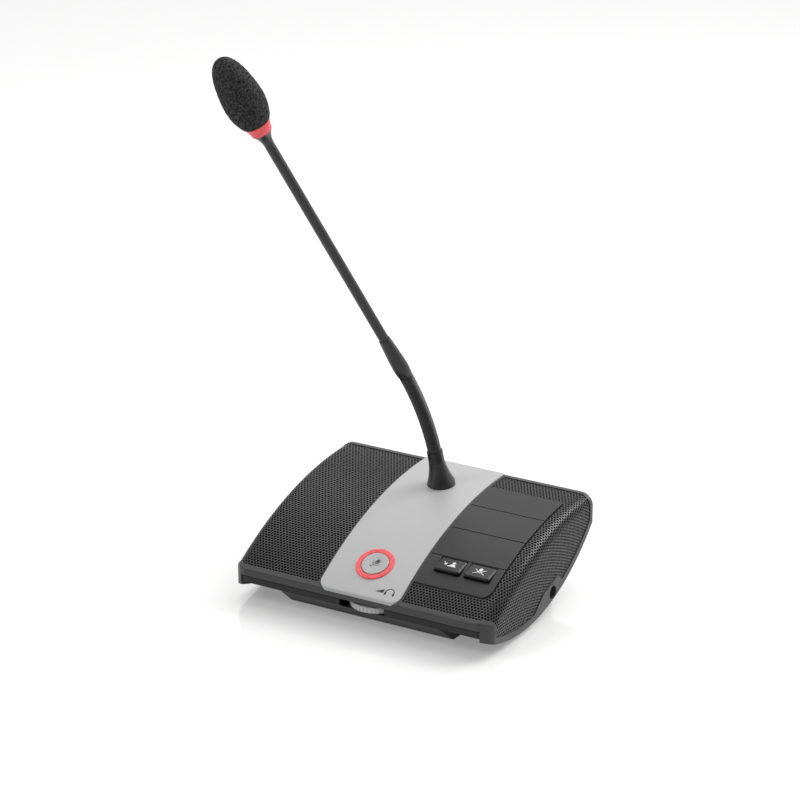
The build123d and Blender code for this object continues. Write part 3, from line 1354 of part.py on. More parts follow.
def make_housing_screws():
    """The screws that hold the base shell to the cover, as a group."""
    screws = []
    seat = SCREW_HEAD_HEIGHT + BASE_WALL
    for x, y in screw_places():
        plane = Plane((x, y, seat))
        screws.append(screw(plane, SCREW_DIAMETER - FIT, SCREW_HEAD, SCREW_HEAD_HEIGHT,
                            SCREW_LENGTH))
    return Compound(screws)


def build_nodes():
    """Builds every node of the unit, by name."""
    nodes = {
        "upper_housing": make_upper_housing(),
        "base_shell": make_base_shell(),
        "grille_left": make_grille(-1),
        "grille_right": make_grille(1),
        "centre_panel": make_centre_panel(),
        "button_light_ring": make_button_light_ring(),
        "mic_button": make_mic_button(),
        "button_switch": make_switch(0, BUTTON_Y),
        "control_board": make_control_board(),
        "control_screws": make_control_screws(),
        "ring_lamps": make_ring_lamps(),
        "key_plate": make_key_plate(),
        "key_left": make_key(KEY_XS[0]),
        "key_right": make_key(KEY_XS[1]),
        "key_mat": make_key_mat(),
        "key_switches": Compound([make_switch(x, KEY_Y) for x in KEY_XS]),
        "neck_root": make_neck_root(),
        "neck_nut": make_neck_nut(),
        "cone_collar": make_cone_collar(),
        "neck_sleeve": make_neck_sleeve(),
        "stem_tube": make_stem_tube(),
        "capsule_neck": make_capsule_neck(),
        "mic_light_ring": make_mic_light_ring(),
        "mic_capsule": make_mic_capsule(),
        "capsule_element": make_capsule_element(),
        "foam_windshield": make_foam_windshield(),
        "volume_wheel": make_volume_wheel(),
        "volume_spindle": make_volume_spindle(),
        "volume_pot": make_volume_pot(),
        "volume_board": make_volume_board(),
        "board_screws": make_board_screws(),
        "main_board": make_main_board(),
        "board_chips": make_board_chips(),
        "network_sockets": make_network_sockets(),
        "headphone_jack": make_headphone_jack(),
        "speaker_gasket": make_speaker_gasket(),
        "speaker_basket": make_speaker_basket(),
        "speaker_cone": make_speaker_cone(),
        "speaker_magnet": make_speaker_magnet(),
        "speaker_screws": make_speaker_screws(),
        "weight_plate": make_weight_plate(),
        "rubber_feet": make_rubber_feet(),
        "housing_screws": make_housing_screws(),
    }
    for k, plane in enumerate(neck_planes()[:-1]):
        nodes[f"neck_link_{k + 1}"] = make_neck_link(plane)
    return nodes


def main():
    """Writes each node to its own file."""
    os.makedirs("parts", exist_ok=True)
    for name, solid in build_nodes().items():
        export_step(solid, f"parts/{name}.step")


main()
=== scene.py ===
"""The looks of a conference delegate unit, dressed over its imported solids."""

import logging
import math
from collections.abc import Iterable
from dataclasses import dataclass, field
from enum import Enum

import bmesh
import bpy
from mathutils import Matrix, Vector, noise


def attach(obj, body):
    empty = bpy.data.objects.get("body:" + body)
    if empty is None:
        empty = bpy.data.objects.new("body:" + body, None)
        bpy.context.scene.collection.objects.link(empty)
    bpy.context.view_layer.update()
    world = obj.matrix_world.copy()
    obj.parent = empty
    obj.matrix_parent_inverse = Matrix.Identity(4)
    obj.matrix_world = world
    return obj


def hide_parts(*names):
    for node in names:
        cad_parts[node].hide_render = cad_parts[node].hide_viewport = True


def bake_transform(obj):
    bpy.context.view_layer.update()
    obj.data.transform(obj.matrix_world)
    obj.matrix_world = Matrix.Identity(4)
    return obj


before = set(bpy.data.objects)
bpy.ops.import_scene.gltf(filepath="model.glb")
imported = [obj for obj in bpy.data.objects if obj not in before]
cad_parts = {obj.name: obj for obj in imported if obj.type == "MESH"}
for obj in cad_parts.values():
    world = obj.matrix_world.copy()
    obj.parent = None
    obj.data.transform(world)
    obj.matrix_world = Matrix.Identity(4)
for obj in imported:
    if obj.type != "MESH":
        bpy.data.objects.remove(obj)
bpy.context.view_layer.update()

LOG = logging.getLogger("delegate_unit")
MM = 0.001
Pair = tuple[float, float]
Triple = tuple[float, float, float]
Strokes = tuple[tuple[Pair, Pair], ...]
Mesh = bmesh.types.BMesh
Socket = bpy.types.NodeSocket


class Side(Enum):
    """The two sides of the unit, as seen by the person who sits at it."""

    LEFT = -1
    RIGHT = 1


# Finishes

WHITE = (1.0, 1.0, 1.0, 1.0)
NOISE_MIDDLE = (0.3, 0.7)
EDGE_SAMPLES = 4
EDGE_AGREEMENT = (0.99, 0.86)
# Edge wear, which also paints a highlight along the edges:
WEAR_AND_HIGHLIGHT_GRAINS = 220.0
WEAR_AND_HIGHLIGHT_GAIN = 1.6
WEAR_AND_HIGHLIGHT_LIFT = 0.03
LIGHTEST = 0.9
ROUGHNESS_SPREAD = 0.14
GRAIN_LAYERS = 4.0
GRAIN_ROUGH = 0.6
PATCH_LAYERS = 3.0

# A Mix node's sockets for colours, which share their names with those for plain values
MIX_SHARE = 0
MIX_FIRST = 6
MIX_SECOND = 7
MIX_RESULT = 2


class Nodes:
    """A node tree that is filled in step by step."""

    def __init__(self, tree: bpy.types.NodeTree) -> None:
        """Takes the tree that the nodes go into."""
        self.tree = tree

    def add(self, kind: str, **values: object) -> bpy.types.Node:
        """Adds a node.

        Args:
            kind: the node's type name.
            values: values for its named inputs, with spaces as underscores.

        Returns:
            The new node.
        """
        node = self.tree.nodes.new(kind)
        for key, value in values.items():
            node.inputs[key.replace("_", " ")].default_value = value
        return node

    def link(self, source: Socket, target: Socket) -> None:
        """Joins an output to an input."""
        self.tree.links.new(source, target)

    def combined(
        self, kind: str, operation: str, first: Socket, second: Socket | Triple | float
    ) -> Socket:
        """Joins two values by an operation.

        Args:
            kind: the type name of the node that does it.
            operation: the operation's name.
            first: the first value.
            second: the second value, an output or plain numbers.

        Returns:
            The result.
        """
        node = self.add(kind)
        node.operation = operation
        self.link(first, node.inputs[0])
        if isinstance(second, Socket):
            self.link(second, node.inputs[1])
        else:
            node.inputs[1].default_value = second
        return node.outputs["Value"]

    def product(self, first: Socket, second: Socket | float) -> Socket:
        """Multiplies two values."""
        return self.combined("ShaderNodeMath", "MULTIPLY", first, second)

    def agreement(self, first: Socket, second: Socket | Triple) -> Socket:
        """How far two directions agree: 1 where they are the same."""
        return self.combined("ShaderNodeVectorMath", "DOT_PRODUCT", first, second)

    def largest(self, values: list[Socket]) -> Socket:
        """Finds the largest of several values.

        Args:
            values: the values, at least one.

        Returns:
            The largest.
        """
        most = values[0]
        for value in values[1:]:
            most = self.combined("ShaderNodeMath", "MAXIMUM", most, value)
        return most

    def mapped(self, value: Socket, source: Pair, target: Pair) -> Socket:
        """Maps a value from one range to another, and holds it at the ends.

        Args:
            value: the value.
            source: the range that it comes from.
            target: the range that it goes to.

        Returns:
            The mapped value.
        """
        node = self.add(
            "ShaderNodeMapRange",
            From_Min=source[0], From_Max=source[1], To_Min=target[0], To_Max=target[1],
        )
        self.link(value, node.inputs["Value"])
        return node.outputs["Result"]


class NodeSheet(Nodes):
    """A material's nodes, with one main shader."""

    def __init__(self, name: str) -> None:
        """Starts a material.

        Args:
            name: the material's name.
        """
        self.material = bpy.data.materials.new(name)
        self.material.use_nodes = True
        super().__init__(self.material.node_tree)
        self.tree.nodes.clear()
        self.shader = self.add("ShaderNodeBsdfPrincipled")
        self.surface = self.add("ShaderNodeOutputMaterial").inputs["Surface"]
        self.link(self.shader.outputs["BSDF"], self.surface)
        self.place = self.add("ShaderNodeTexCoord").outputs["Object"]

    def stretched(self, stretch: Triple) -> Socket:
        """Gives the object's coordinates, stretched for a pattern with a direction.

        Args:
            stretch: the scale along each axis.

        Returns:
            The stretched coordinates.
        """
        mapping = self.add("ShaderNodeMapping", Scale=stretch)
        self.link(self.place, mapping.inputs["Vector"])
        return mapping.outputs["Vector"]

    def noise(self, place: Socket, scale: float, detail: float, rough: float = 0.55) -> Socket:
        """Adds a noise pattern.

        Args:
            place: the coordinates that it reads.
            scale: its grains per metre.
            detail: how many finer layers it has.
            rough: how strong the finer layers are.

        Returns:
            The pattern's value.
        """
        node = self.add("ShaderNodeTexNoise", Scale=scale, Detail=detail, Roughness=rough)
        self.link(place, node.inputs["Vector"])
        return node.outputs["Fac"]

    def spread(self, value: Socket, low: float, high: float) -> Socket:
        """Maps the middle of a noise pattern to the range from low to high."""
        return self.mapped(value, NOISE_MIDDLE, (low, high))

    def tinted(self, colour: Triple, value: Socket, share: float) -> Socket:
        """Makes a colour darker and lighter along a pattern.

        Args:
            colour: the middle colour.
            value: the pattern.
            share: how far the colour goes to each side.

        Returns:
            The varied colour.
        """
        ramp = self.add("ShaderNodeValToRGB")
        for element, position, sign in zip(ramp.color_ramp.elements, NOISE_MIDDLE, (-1, 1)):
            element.position = position
            element.color = (*[min(1.0, part * (1 + sign * share)) for part in colour], 1.0)
        self.link(value, ramp.inputs["Fac"])
        return ramp.outputs["Color"]

    def round_edges(self, radius: float) -> Socket:
        """Shades sharp edges as small rounds and finds where they are.

        Args:
            radius: the rounds' radius in metres.

        Returns:
            A mask that is 1 along the edges.
        """
        bevel = self.add("ShaderNodeBevel", Radius=radius)
        bevel.samples = EDGE_SAMPLES
        rounded = bevel.outputs["Normal"]
        self.link(rounded, self.shader.inputs["Normal"])
        plain = self.add("ShaderNodeNewGeometry").outputs["Normal"]
        return self.mapped(self.agreement(rounded, plain), EDGE_AGREEMENT, (0.0, 1.0))

    def worn_and_highlit(self, colour: Socket, edges: Socket, tone: Triple, share: float) -> Socket:
        """Lets a lighter tone show along the edges, in patches: wear, and a painted highlight.

        Args:
            colour: the surface's colour.
            edges: the mask of the edges.
            tone: the colour of a worn edge, lightened as a painted highlight.
            share: how much of it shows where the wear and the painted highlight are strongest.

        Returns:
            The colour with its worn edges.
        """
        patches = self.spread(self.noise(self.place, WEAR_AND_HIGHLIGHT_GRAINS, PATCH_LAYERS), 0.0, share)
        blend = self.add("ShaderNodeMix")
        blend.data_type = "RGBA"
        self.link(self.product(edges, patches), blend.inputs[MIX_SHARE])
        self.link(colour, blend.inputs[MIX_FIRST])
        blend.inputs[MIX_SECOND].default_value = (*tone, 1.0)
        return blend.outputs[MIX_RESULT]

    def bump(self, value: Socket, strength: float, depth: float) -> None:
        """Raises the surface along a pattern, over any pattern raised before.

        Args:
            value: the pattern.
            strength: how much of it shows.
            depth: its height in metres.
        """
        node = self.add("ShaderNodeBump", Strength=strength, Distance=depth)
        self.link(value, node.inputs["Height"])
        normal = self.shader.inputs["Normal"]
        if normal.is_linked:
            self.link(normal.links[0].from_socket, node.inputs["Normal"])
        self.link(node.outputs["Normal"], normal)


@dataclass(frozen=True)
class Finish:
    """A moulded, painted or plated surface with fine grain, slow changes of tone and lighter edges:
    wear with a painted highlight.
    """

    name: str
    colour: Triple
    roughness: float = 0.5
    metallic: float = 0.0
    variation: float = 0.08
    grain: float = 1400.0
    grain_depth: float = 0.00003
    grain_strength: float = 0.35
    patches: float = 18.0
    stretch: Triple = (1.0, 1.0, 1.0)
    coat: float = 0.0
    coat_roughness: float = 0.25
    sheen: float = 0.0
    edge: float = 0.0003
    wear_and_highlight: float = 0.5
    specular: float = 0.3

    def material(self) -> bpy.types.Material:
        """Builds the material once and gives it back each time.

        Returns:
            The material.
        """
        found = bpy.data.materials.get(self.name)
        if found:
            return found
        sheet = NodeSheet(self.name)
        self.lay(sheet)
        return sheet.material

    def lay(self, sheet: NodeSheet) -> None:
        """Lays colour, roughness and grain on the shader.

        Args:
            sheet: the material's nodes.
        """
        shader = sheet.shader
        place = sheet.stretched(self.stretch)
        fine = sheet.noise(place, self.grain, GRAIN_LAYERS, GRAIN_ROUGH)
        slow = sheet.noise(sheet.place, self.patches, PATCH_LAYERS)
        edges = sheet.round_edges(self.edge)
        # Edges go lighter in patches: wear, and a painted highlight along each edge.
        tone = tuple(min(LIGHTEST, part * WEAR_AND_HIGHLIGHT_GAIN + WEAR_AND_HIGHLIGHT_LIFT) for part in self.colour)
        colour = sheet.worn_and_highlit(sheet.tinted(self.colour, slow, self.variation), edges, tone, self.wear_and_highlight)
        sheet.link(colour, shader.inputs["Base Color"])
        low = self.roughness * (1 - ROUGHNESS_SPREAD)
        high = min(1.0, self.roughness * (1 + ROUGHNESS_SPREAD))
        sheet.link(sheet.spread(fine, low, high), shader.inputs["Roughness"])
        shader.inputs["Metallic"].default_value = self.metallic
        shader.inputs["Specular IOR Level"].default_value = self.specular
        shader.inputs["Coat Weight"].default_value = self.coat
        shader.inputs["Coat Roughness"].default_value = self.coat_roughness
        shader.inputs["Sheen Weight"].default_value = self.sheen
        sheet.bump(fine, self.grain_strength, self.grain_depth)


@dataclass(frozen=True)
class GlowFinish(Finish):
    """A translucent moulding that is lit from inside."""

    glow: Triple = (1.0, 0.2, 0.2)
    strength: float = 0.5
    clouds: float = 330.0
    cloud_layers: float = 2.0
    cloud_share: float = 0.5
    depth_share: float = 0.25
    depths: Triple = (0.004, 0.001, 0.001)

    def lay(self, sheet: NodeSheet) -> None:
        """Lays the moulding's surface and its glow, which is brighter in places.

        Args:
            sheet: the material's nodes.
        """
        super().lay(sheet)
        shader = sheet.shader
        cloud = sheet.noise(sheet.place, self.clouds, self.cloud_layers)
        glow = sheet.tinted(self.glow, cloud, self.cloud_share)
        sheet.link(glow, shader.inputs["Emission Color"])
        shader.inputs["Emission Strength"].default_value = self.strength
        shader.inputs["Subsurface Weight"].default_value = self.depth_share
        shader.inputs["Subsurface Radius"].default_value = self.depths


@dataclass(frozen=True)
class FoamFinish(Finish):
    """Open cell foam: bumped cell walls, and dark and light speckle in its colour as painted shade
    of the cells.
    """

    cells: float = 900.0
    shade_speckle: float = 720.0
    shade_speckle_layers: float = 1.0
    shade_speckle_share: float = 0.75
    wall_strength: float = 0.9
    wall_height: float = 0.0006

    def lay(self, sheet: NodeSheet) -> None:
        """Lays the cells' bump and their painted shade over the plain surface.

        Args:
            sheet: the material's nodes.
        """
        super().lay(sheet)
        cells = sheet.add("ShaderNodeTexVoronoi", Scale=self.cells)
        sheet.link(sheet.place, cells.inputs["Vector"])
        # Speckle in the colour paints the shade and light of the foam's cells.
        shade_speckle = sheet.noise(sheet.place, self.shade_speckle, self.shade_speckle_layers)
        colour = sheet.tinted(self.colour, shade_speckle, self.shade_speckle_share)
        sheet.link(colour, sheet.shader.inputs["Base Color"])
        sheet.bump(cells.outputs["Distance"], self.wall_strength, self.wall_height)


@dataclass(frozen=True)
class FloorFinish(Finish):
    """A pale floor that looks white where it is seen and still takes the object's shade."""

    glow: float = 0.24

    def lay(self, sheet: NodeSheet) -> None:
        """Lays the surface and adds a glow that only what looks at the floor gets.

        Args:
            sheet: the material's nodes.
        """
        super().lay(sheet)
        rays = sheet.add("ShaderNodeLightPath").outputs
        names = ("Is Camera Ray", "Is Glossy Ray", "Is Transmission Ray")
        shown = sheet.largest([rays[name] for name in names])
        light = sheet.add("ShaderNodeEmission", Color=WHITE)
        sheet.link(sheet.product(shown, self.glow), light.inputs["Strength"])
        both = sheet.add("ShaderNodeAddShader")
        sheet.link(sheet.shader.outputs["BSDF"], both.inputs[0])
        sheet.link(light.outputs["Emission"], both.inputs[1])
        sheet.link(both.outputs["Shader"], sheet.surface)


HOUSING = Finish("charcoal_housing", (0.043, 0.043, 0.0435), 0.44, grain=2200.0, specular=0.4)
LOWER = Finish("charcoal_base", (0.017, 0.017, 0.0175), 0.52, grain=2200.0)
GRILLE = Finish(
    "grille_paint", (0.01, 0.01, 0.0103), 0.3, variation=0.05, grain_strength=0.1, specular=0.5
)
# Near-black cloth behind the grilles: it paints the shade that the holes show.
CLOTH_PAINTED_SHADE = Finish("grille_cloth_painted_shade", (0.003, 0.003, 0.003), 0.95, grain=3000.0, specular=0.1)
SILVER = Finish(
    "silver_panel", (0.42, 0.42, 0.423), 0.5, metallic=0.15, variation=0.03, grain=900.0,
    grain_depth=0.00001, grain_strength=0.25, patches=9.0, stretch=(0.06, 1.0, 1.0), specular=0.5,
)
BUTTON = Finish(
    "silver_button", (0.36, 0.36, 0.362), 0.36, metallic=0.3, variation=0.05, grain=1600.0,
    grain_depth=0.00001, grain_strength=0.25,
)
PLATE = Finish("key_plate_plastic", (0.018, 0.018, 0.0185), 0.42, grain=2600.0)
KEY = Finish("key_plastic", (0.007, 0.007, 0.0072), 0.34, grain=2600.0, edge=0.0005)
BLACK = Finish(
    "satin_black", (0.014, 0.014, 0.014), 0.32, grain=1800.0, grain_strength=0.2, specular=0.5
)
NECK = Finish("neck_sheath", (0.016, 0.016, 0.0165), 0.38, grain=1800.0, specular=0.5)
RUBBER = Finish("soft_rubber", (0.02, 0.02, 0.02), 0.85, grain=1200.0)
BRIGHT = Finish(
    "nickel_plate", (0.72, 0.72, 0.74), 0.22, metallic=1.0, variation=0.05, grain=800.0,
    grain_depth=0.00001, grain_strength=0.15,
)
STEEL = Finish(
    "plain_steel", (0.45, 0.45, 0.47), 0.35, metallic=1.0, variation=0.1, grain=600.0,
    grain_depth=0.00002, grain_strength=0.3,
)
GOLD = Finish(
    "contact_gold", (0.85, 0.62, 0.25), 0.25, metallic=1.0, variation=0.05, grain=900.0,
    grain_depth=0.00001, grain_strength=0.1,
)
BOARD = Finish("solder_mask", (0.01, 0.09, 0.035), 0.35, variation=0.2, patches=90.0, coat=0.4)
CHIP = Finish("chip_resin", (0.015, 0.015, 0.015), 0.45, grain=1600.0)
SOCKET = Finish("socket_plastic", (0.014, 0.014, 0.014), 0.35, grain=1500.0)
WHEEL = Finish("wheel_plastic", (0.5, 0.5, 0.505), 0.42, grain=1800.0)
PAPER = Finish("cone_paper", (0.02, 0.02, 0.02), 0.9, grain=700.0, grain_strength=0.6)
MAGNET = Finish("magnet_ferrite", (0.04, 0.04, 0.042), 0.6, metallic=0.3, grain=900.0)
LAMP = Finish("lamp_resin", (0.75, 0.72, 0.6), 0.25, coat=0.5)
INK_WHITE = Finish("white_ink", (0.72, 0.72, 0.72), 0.55, grain=2000.0, wear_and_highlight=0.0)
INK_DARK = Finish("dark_ink", (0.03, 0.03, 0.03), 0.5, grain=2000.0, wear_and_highlight=0.0)
INK_GREY = Finish("grey_ink", (0.16, 0.16, 0.162), 0.5, grain=2000.0, wear_and_highlight=0.0)
RED = GlowFinish(
    "red_light_ring", (0.68, 0.07, 0.08), 0.28, variation=0.35, patches=260.0,
    glow=(0.9, 0.13, 0.13), strength=0.25,
)
FOAM = FoamFinish(
    "foam_cells", (0.041, 0.041, 0.041), 0.95, sheen=0.02, grain=1100.0, wear_and_highlight=0.0, specular=0.1
)
FLOOR = FloorFinish(
    "floor_white", (0.75, 0.75, 0.745), 0.08, variation=0.004, wear_and_highlight=0.0, specular=0.8
)

NODE_FINISHES: dict[str, Finish] = {
    "upper_housing": HOUSING,
    "base_shell": LOWER,
    "centre_panel": SILVER,
    "button_light_ring": RED,
    "mic_button": BUTTON,
    "button_switch": CHIP,
    "control_board": BOARD,
    "control_screws": STEEL,
    "ring_lamps": LAMP,
    "key_plate": PLATE,
    "key_left": KEY,
    "key_right": KEY,
    "key_mat": RUBBER,
    "key_switches": CHIP,
    "neck_root": BLACK,
    "neck_nut": BRIGHT,
    "cone_collar": BLACK,
    "neck_sleeve": BLACK,
    "stem_tube": BLACK,
    "capsule_neck": BLACK,
    "mic_light_ring": RED,
    "mic_capsule": BRIGHT,
    "capsule_element": STEEL,
    "volume_wheel": WHEEL,
    "volume_spindle": STEEL,
    "volume_pot": SOCKET,
    "volume_board": BOARD,
    "board_screws": STEEL,
    "main_board": BOARD,
    "board_chips": CHIP,
    "network_sockets": SOCKET,
    "headphone_jack": SOCKET,
    "speaker_gasket": RUBBER,
    "speaker_basket": STEEL,
    "speaker_cone": PAPER,
    "speaker_magnet": MAGNET,
    "speaker_screws": STEEL,
    "weight_plate": STEEL,
    "rubber_feet": RUBBER,
    "housing_screws": STEEL,
}


# Shapes, in millimetres until a piece is added

CUT_MERGE = 0.001
SPIN_MERGE = 0.0005
SHEET_MERGE = 0.002
HOUSING_WIDTH = 190.0
HOUSING_DEPTH = 143.0


def add_piece(mesh: Mesh, name: str, finish: Finish, smooth: float = 35.0) -> bpy.types.Object:
    """Turns a mesh in millimetres into a finished object in metres.

    Args:
        mesh: the mesh, which is freed.
        name: the object's name.
        finish: what it is made of.
        smooth: the angle in degrees up to which neighbouring faces shade as one.

    Returns:
        The object, at the origin, with its place in its mesh.
    """
    bmesh.ops.scale(mesh, vec=(MM, MM, MM), verts=mesh.verts)
    data = bpy.data.meshes.new(name)
    mesh.to_mesh(data)
    mesh.free()
    data.shade_smooth()
    data.set_sharp_from_angle(angle=math.radians(smooth))
    data.materials.append(finish.material())
    piece = bpy.data.objects.new(name, data)
    bpy.context.scene.collection.objects.link(piece)
    LOG.info("%s: %d faces", name, len(data.polygons))
    return piece


@dataclass(frozen=True)
class Arc:
    """A circular arc in the side view."""

    centre_y: float
    centre_z: float
    radius: float
    bulge: int

    @classmethod
    def over(cls, depth: float, front: float, back: float, rise: float, bulge: int) -> "Arc":
        """Makes the arc that crosses the housing from front to back.

        Args:
            depth: the housing's depth.
            front: the arc's height at the front.
            back: its height at the back.
            rise: how far it stands off its chord.
            bulge: 1 for an arc that bulges up, -1 for one that bulges down.

        Returns:
            The arc.
        """
        chord = math.hypot(depth, back - front)
        radius = (chord**2 / 4 + rise**2) / (2 * rise)
        off = bulge * (radius - rise)
        centre_y = (back - front) / chord * off
        return cls(centre_y, (front + back) / 2 - depth / chord * off, radius, bulge)

    def moved_in(self, inset: float) -> "Arc":
        """The same arc, moved towards the inside of the housing."""
        return Arc(self.centre_y, self.centre_z, self.radius - inset, self.bulge)

    def height(self, y: float) -> float:
        """The arc's height at a depth."""
        return self.centre_z + self.bulge * math.sqrt(self.radius**2 - (y - self.centre_y) ** 2)

    def tilt(self, y: float) -> float:
        """The arc's slope at a depth, in radians, rising towards the back."""
        return math.asin(-self.bulge * (y - self.centre_y) / self.radius)


@dataclass(frozen=True)
class Plane:
    """A cutting plane: what lies on the side that it faces is outside."""

    point: Vector
    normal: Vector

    def distance(self, place: Vector) -> float:
        """How far a point lies from the plane, towards the side that it faces."""
        return (place - self.point).dot(self.normal)

    def outside(self, place: Vector) -> bool:
        """Whether a point lies on the side that the plane faces."""
        return self.distance(place) > 0


@dataclass(frozen=True)
class Crown:
    """The housing's outer surface: a crowned top with round shoulders and upright sides."""

    width: float = HOUSING_WIDTH
    depth: float = HOUSING_DEPTH
    shoulder: float = 8.5
    top: Arc = Arc.over(HOUSING_DEPTH, front=25.0, back=62.8, rise=10.9, bulge=1)
    rim: Arc = Arc.over(HOUSING_DEPTH, front=13.0, back=43.1, rise=22.5, bulge=-1)

    @property
    def front(self) -> float:
        """The front edge's place in depth."""
        return -self.depth / 2

    @property
    def back(self) -> float:
        """The back edge's place in depth."""
        return self.depth / 2

    @property
    def flat(self) -> float:
        """The way over the top from the middle to where the shoulder starts."""
        return self.width / 2 - self.shoulder

    @property
    def bend(self) -> float:
        """The way over the shoulder."""
        return self.shoulder * math.pi / 2

    def point(self, across: float, along: float, inset: float) -> Vector:
        """A point under the surface, from a place on the unrolled sheet.

        Args:
            across: the way over the top and down the side, from the middle.
            along: the way along the crown, from its highest line.
            inset: the depth under the surface.

        Returns:
            The point.
        """
        reach = abs(across)
        if reach <= self.flat:
            x, radial = reach, self.top.radius - inset
        elif reach <= self.flat + self.bend:
            turn = (reach - self.flat) / self.shoulder
            x = self.flat + (self.shoulder - inset) * math.sin(turn)
            radial = self.top.radius - self.shoulder + (self.shoulder - inset) * math.cos(turn)
        else:
            x = self.width / 2 - inset
            radial = self.top.radius - self.shoulder - (reach - self.flat - self.bend)
        turn = along / self.top.radius
        return Vector((
            math.copysign(x, across),
            self.top.centre_y + radial * math.sin(turn),
            self.top.centre_z + radial * math.cos(turn),
        ))

    def seat(self, x: float, y: float, depth: float = 0.0) -> Matrix:
        """The place on the crown at x and y: its Z stands off the surface.

        Args:
            x: the place across.
            y: the place in depth.
            depth: how far under the surface it lies.

        Returns:
            The matrix of the place.
        """
        lean = self.top.tilt(y)
        normal = Vector((0, -math.sin(lean), math.cos(lean)))
        origin = Vector((x, y, self.top.height(y))) - normal * depth
        return Matrix.Translation(origin) @ Matrix.Rotation(lean, 4, "X")

    def rim_planes(self, inset: float, y_from: float, y_to: float, count: int) -> list[Plane]:
        """Planes along the lower rim, each facing away from the housing.

        Args:
            inset: how far inside the rim they lie.
            y_from: the first plane's place in depth.
            y_to: the last plane's place in depth.
            count: how many planes there are.

        Returns:
            The planes.
        """
        arc = self.rim.moved_in(inset)
        centre = Vector((0, arc.centre_y, arc.centre_z))
        planes = []
        for k in range(count):
            y = y_from + (y_to - y_from) * k / (count - 1)
            point = Vector((0, y, arc.height(y)))
            planes.append(Plane(point, (point - centre).normalized()))
        return planes


CROWN = Crown()


def corner_planes(middle: Vector, radius: float, side: int, turns: Iterable[int]) -> list[Plane]:
    """Planes round an upright front corner, each facing away from its middle.

    Args:
        middle: the middle of the corner's round.
        radius: the round's radius.
        side: -1 for a corner on the left, 1 for one on the right.
        turns: the planes' angles in degrees, from straight ahead.

    Returns:
        The planes.
    """
    planes = []
    for degrees in turns:
        turn = math.radians(degrees)
        out = Vector((side * math.sin(turn), -math.cos(turn), 0))
        planes.append(Plane(middle + out * radius, out))
    return planes


def cut_along(mesh: Mesh, plane: Plane, low: float, high: float, clear: bool) -> None:
    """Cuts the faces that lie near a plane.

    Args:
        mesh: the mesh to cut.
        plane: the plane.
        low: the least distance from the plane of a face that is cut.
        high: the greatest distance.
        clear: whether what lies outside the plane is taken away.
    """
    faces = [
        face for face in mesh.faces if low < plane.distance(face.calc_center_bounds()) < high
    ]
    edges = dict.fromkeys(edge for face in faces for edge in face.edges)
    verts = dict.fromkeys(vert for face in faces for vert in face.verts)
    bmesh.ops.bisect_plane(
        mesh,
        geom=[*faces, *edges, *verts],
        dist=CUT_MERGE,
        plane_co=plane.point,
        plane_no=plane.normal,
        clear_outer=clear,
    )


def trim(mesh: Mesh, planes: list[Plane], reach: float) -> None:
    """Cuts away what lies outside any of the planes.

    Args:
        mesh: the mesh to cut.
        planes: the planes, which face away from what stays.
        reach: the size of the mesh's faces.
    """
    for plane in planes:
        cut_along(mesh, plane, -reach, math.inf, True)


def split(mesh: Mesh, planes: list[Plane], reach: float) -> None:
    """Splits faces along planes without taking anything away.

    Args:
        mesh: the mesh to cut.
        planes: the planes.
        reach: the size of the mesh's faces.
    """
    for plane in planes:
        cut_along(mesh, plane, -reach, reach, False)


def spun(mesh: Mesh, outline: list[Pair], gaps: list[int], steps: int) -> None:
    """Spins an outline about Z into a closed surface that faces outwards.

    Args:
        mesh: the empty mesh that it goes into.
        outline: the outline's points, each a radius and a height, in a loop.
        gaps: the numbers of the points that no line leaves.
        steps: how many steps the whole turn has.
    """
    verts = [mesh.verts.new((radius, 0, height)) for radius, height in outline]
    pairs = enumerate(zip(verts, verts[1:] + verts[:1]))
    edges = [mesh.edges.new(pair) for k, pair in pairs if k not in gaps]
    bmesh.ops.spin(
        mesh, geom=verts + edges, cent=(0, 0, 0), axis=(0, 0, 1), angle=math.tau, steps=steps,
        use_merge=True,
    )
    bmesh.ops.remove_doubles(mesh, verts=mesh.verts, dist=SPIN_MERGE)
    bmesh.ops.recalc_face_normals(mesh, faces=mesh.faces)


# Grilles


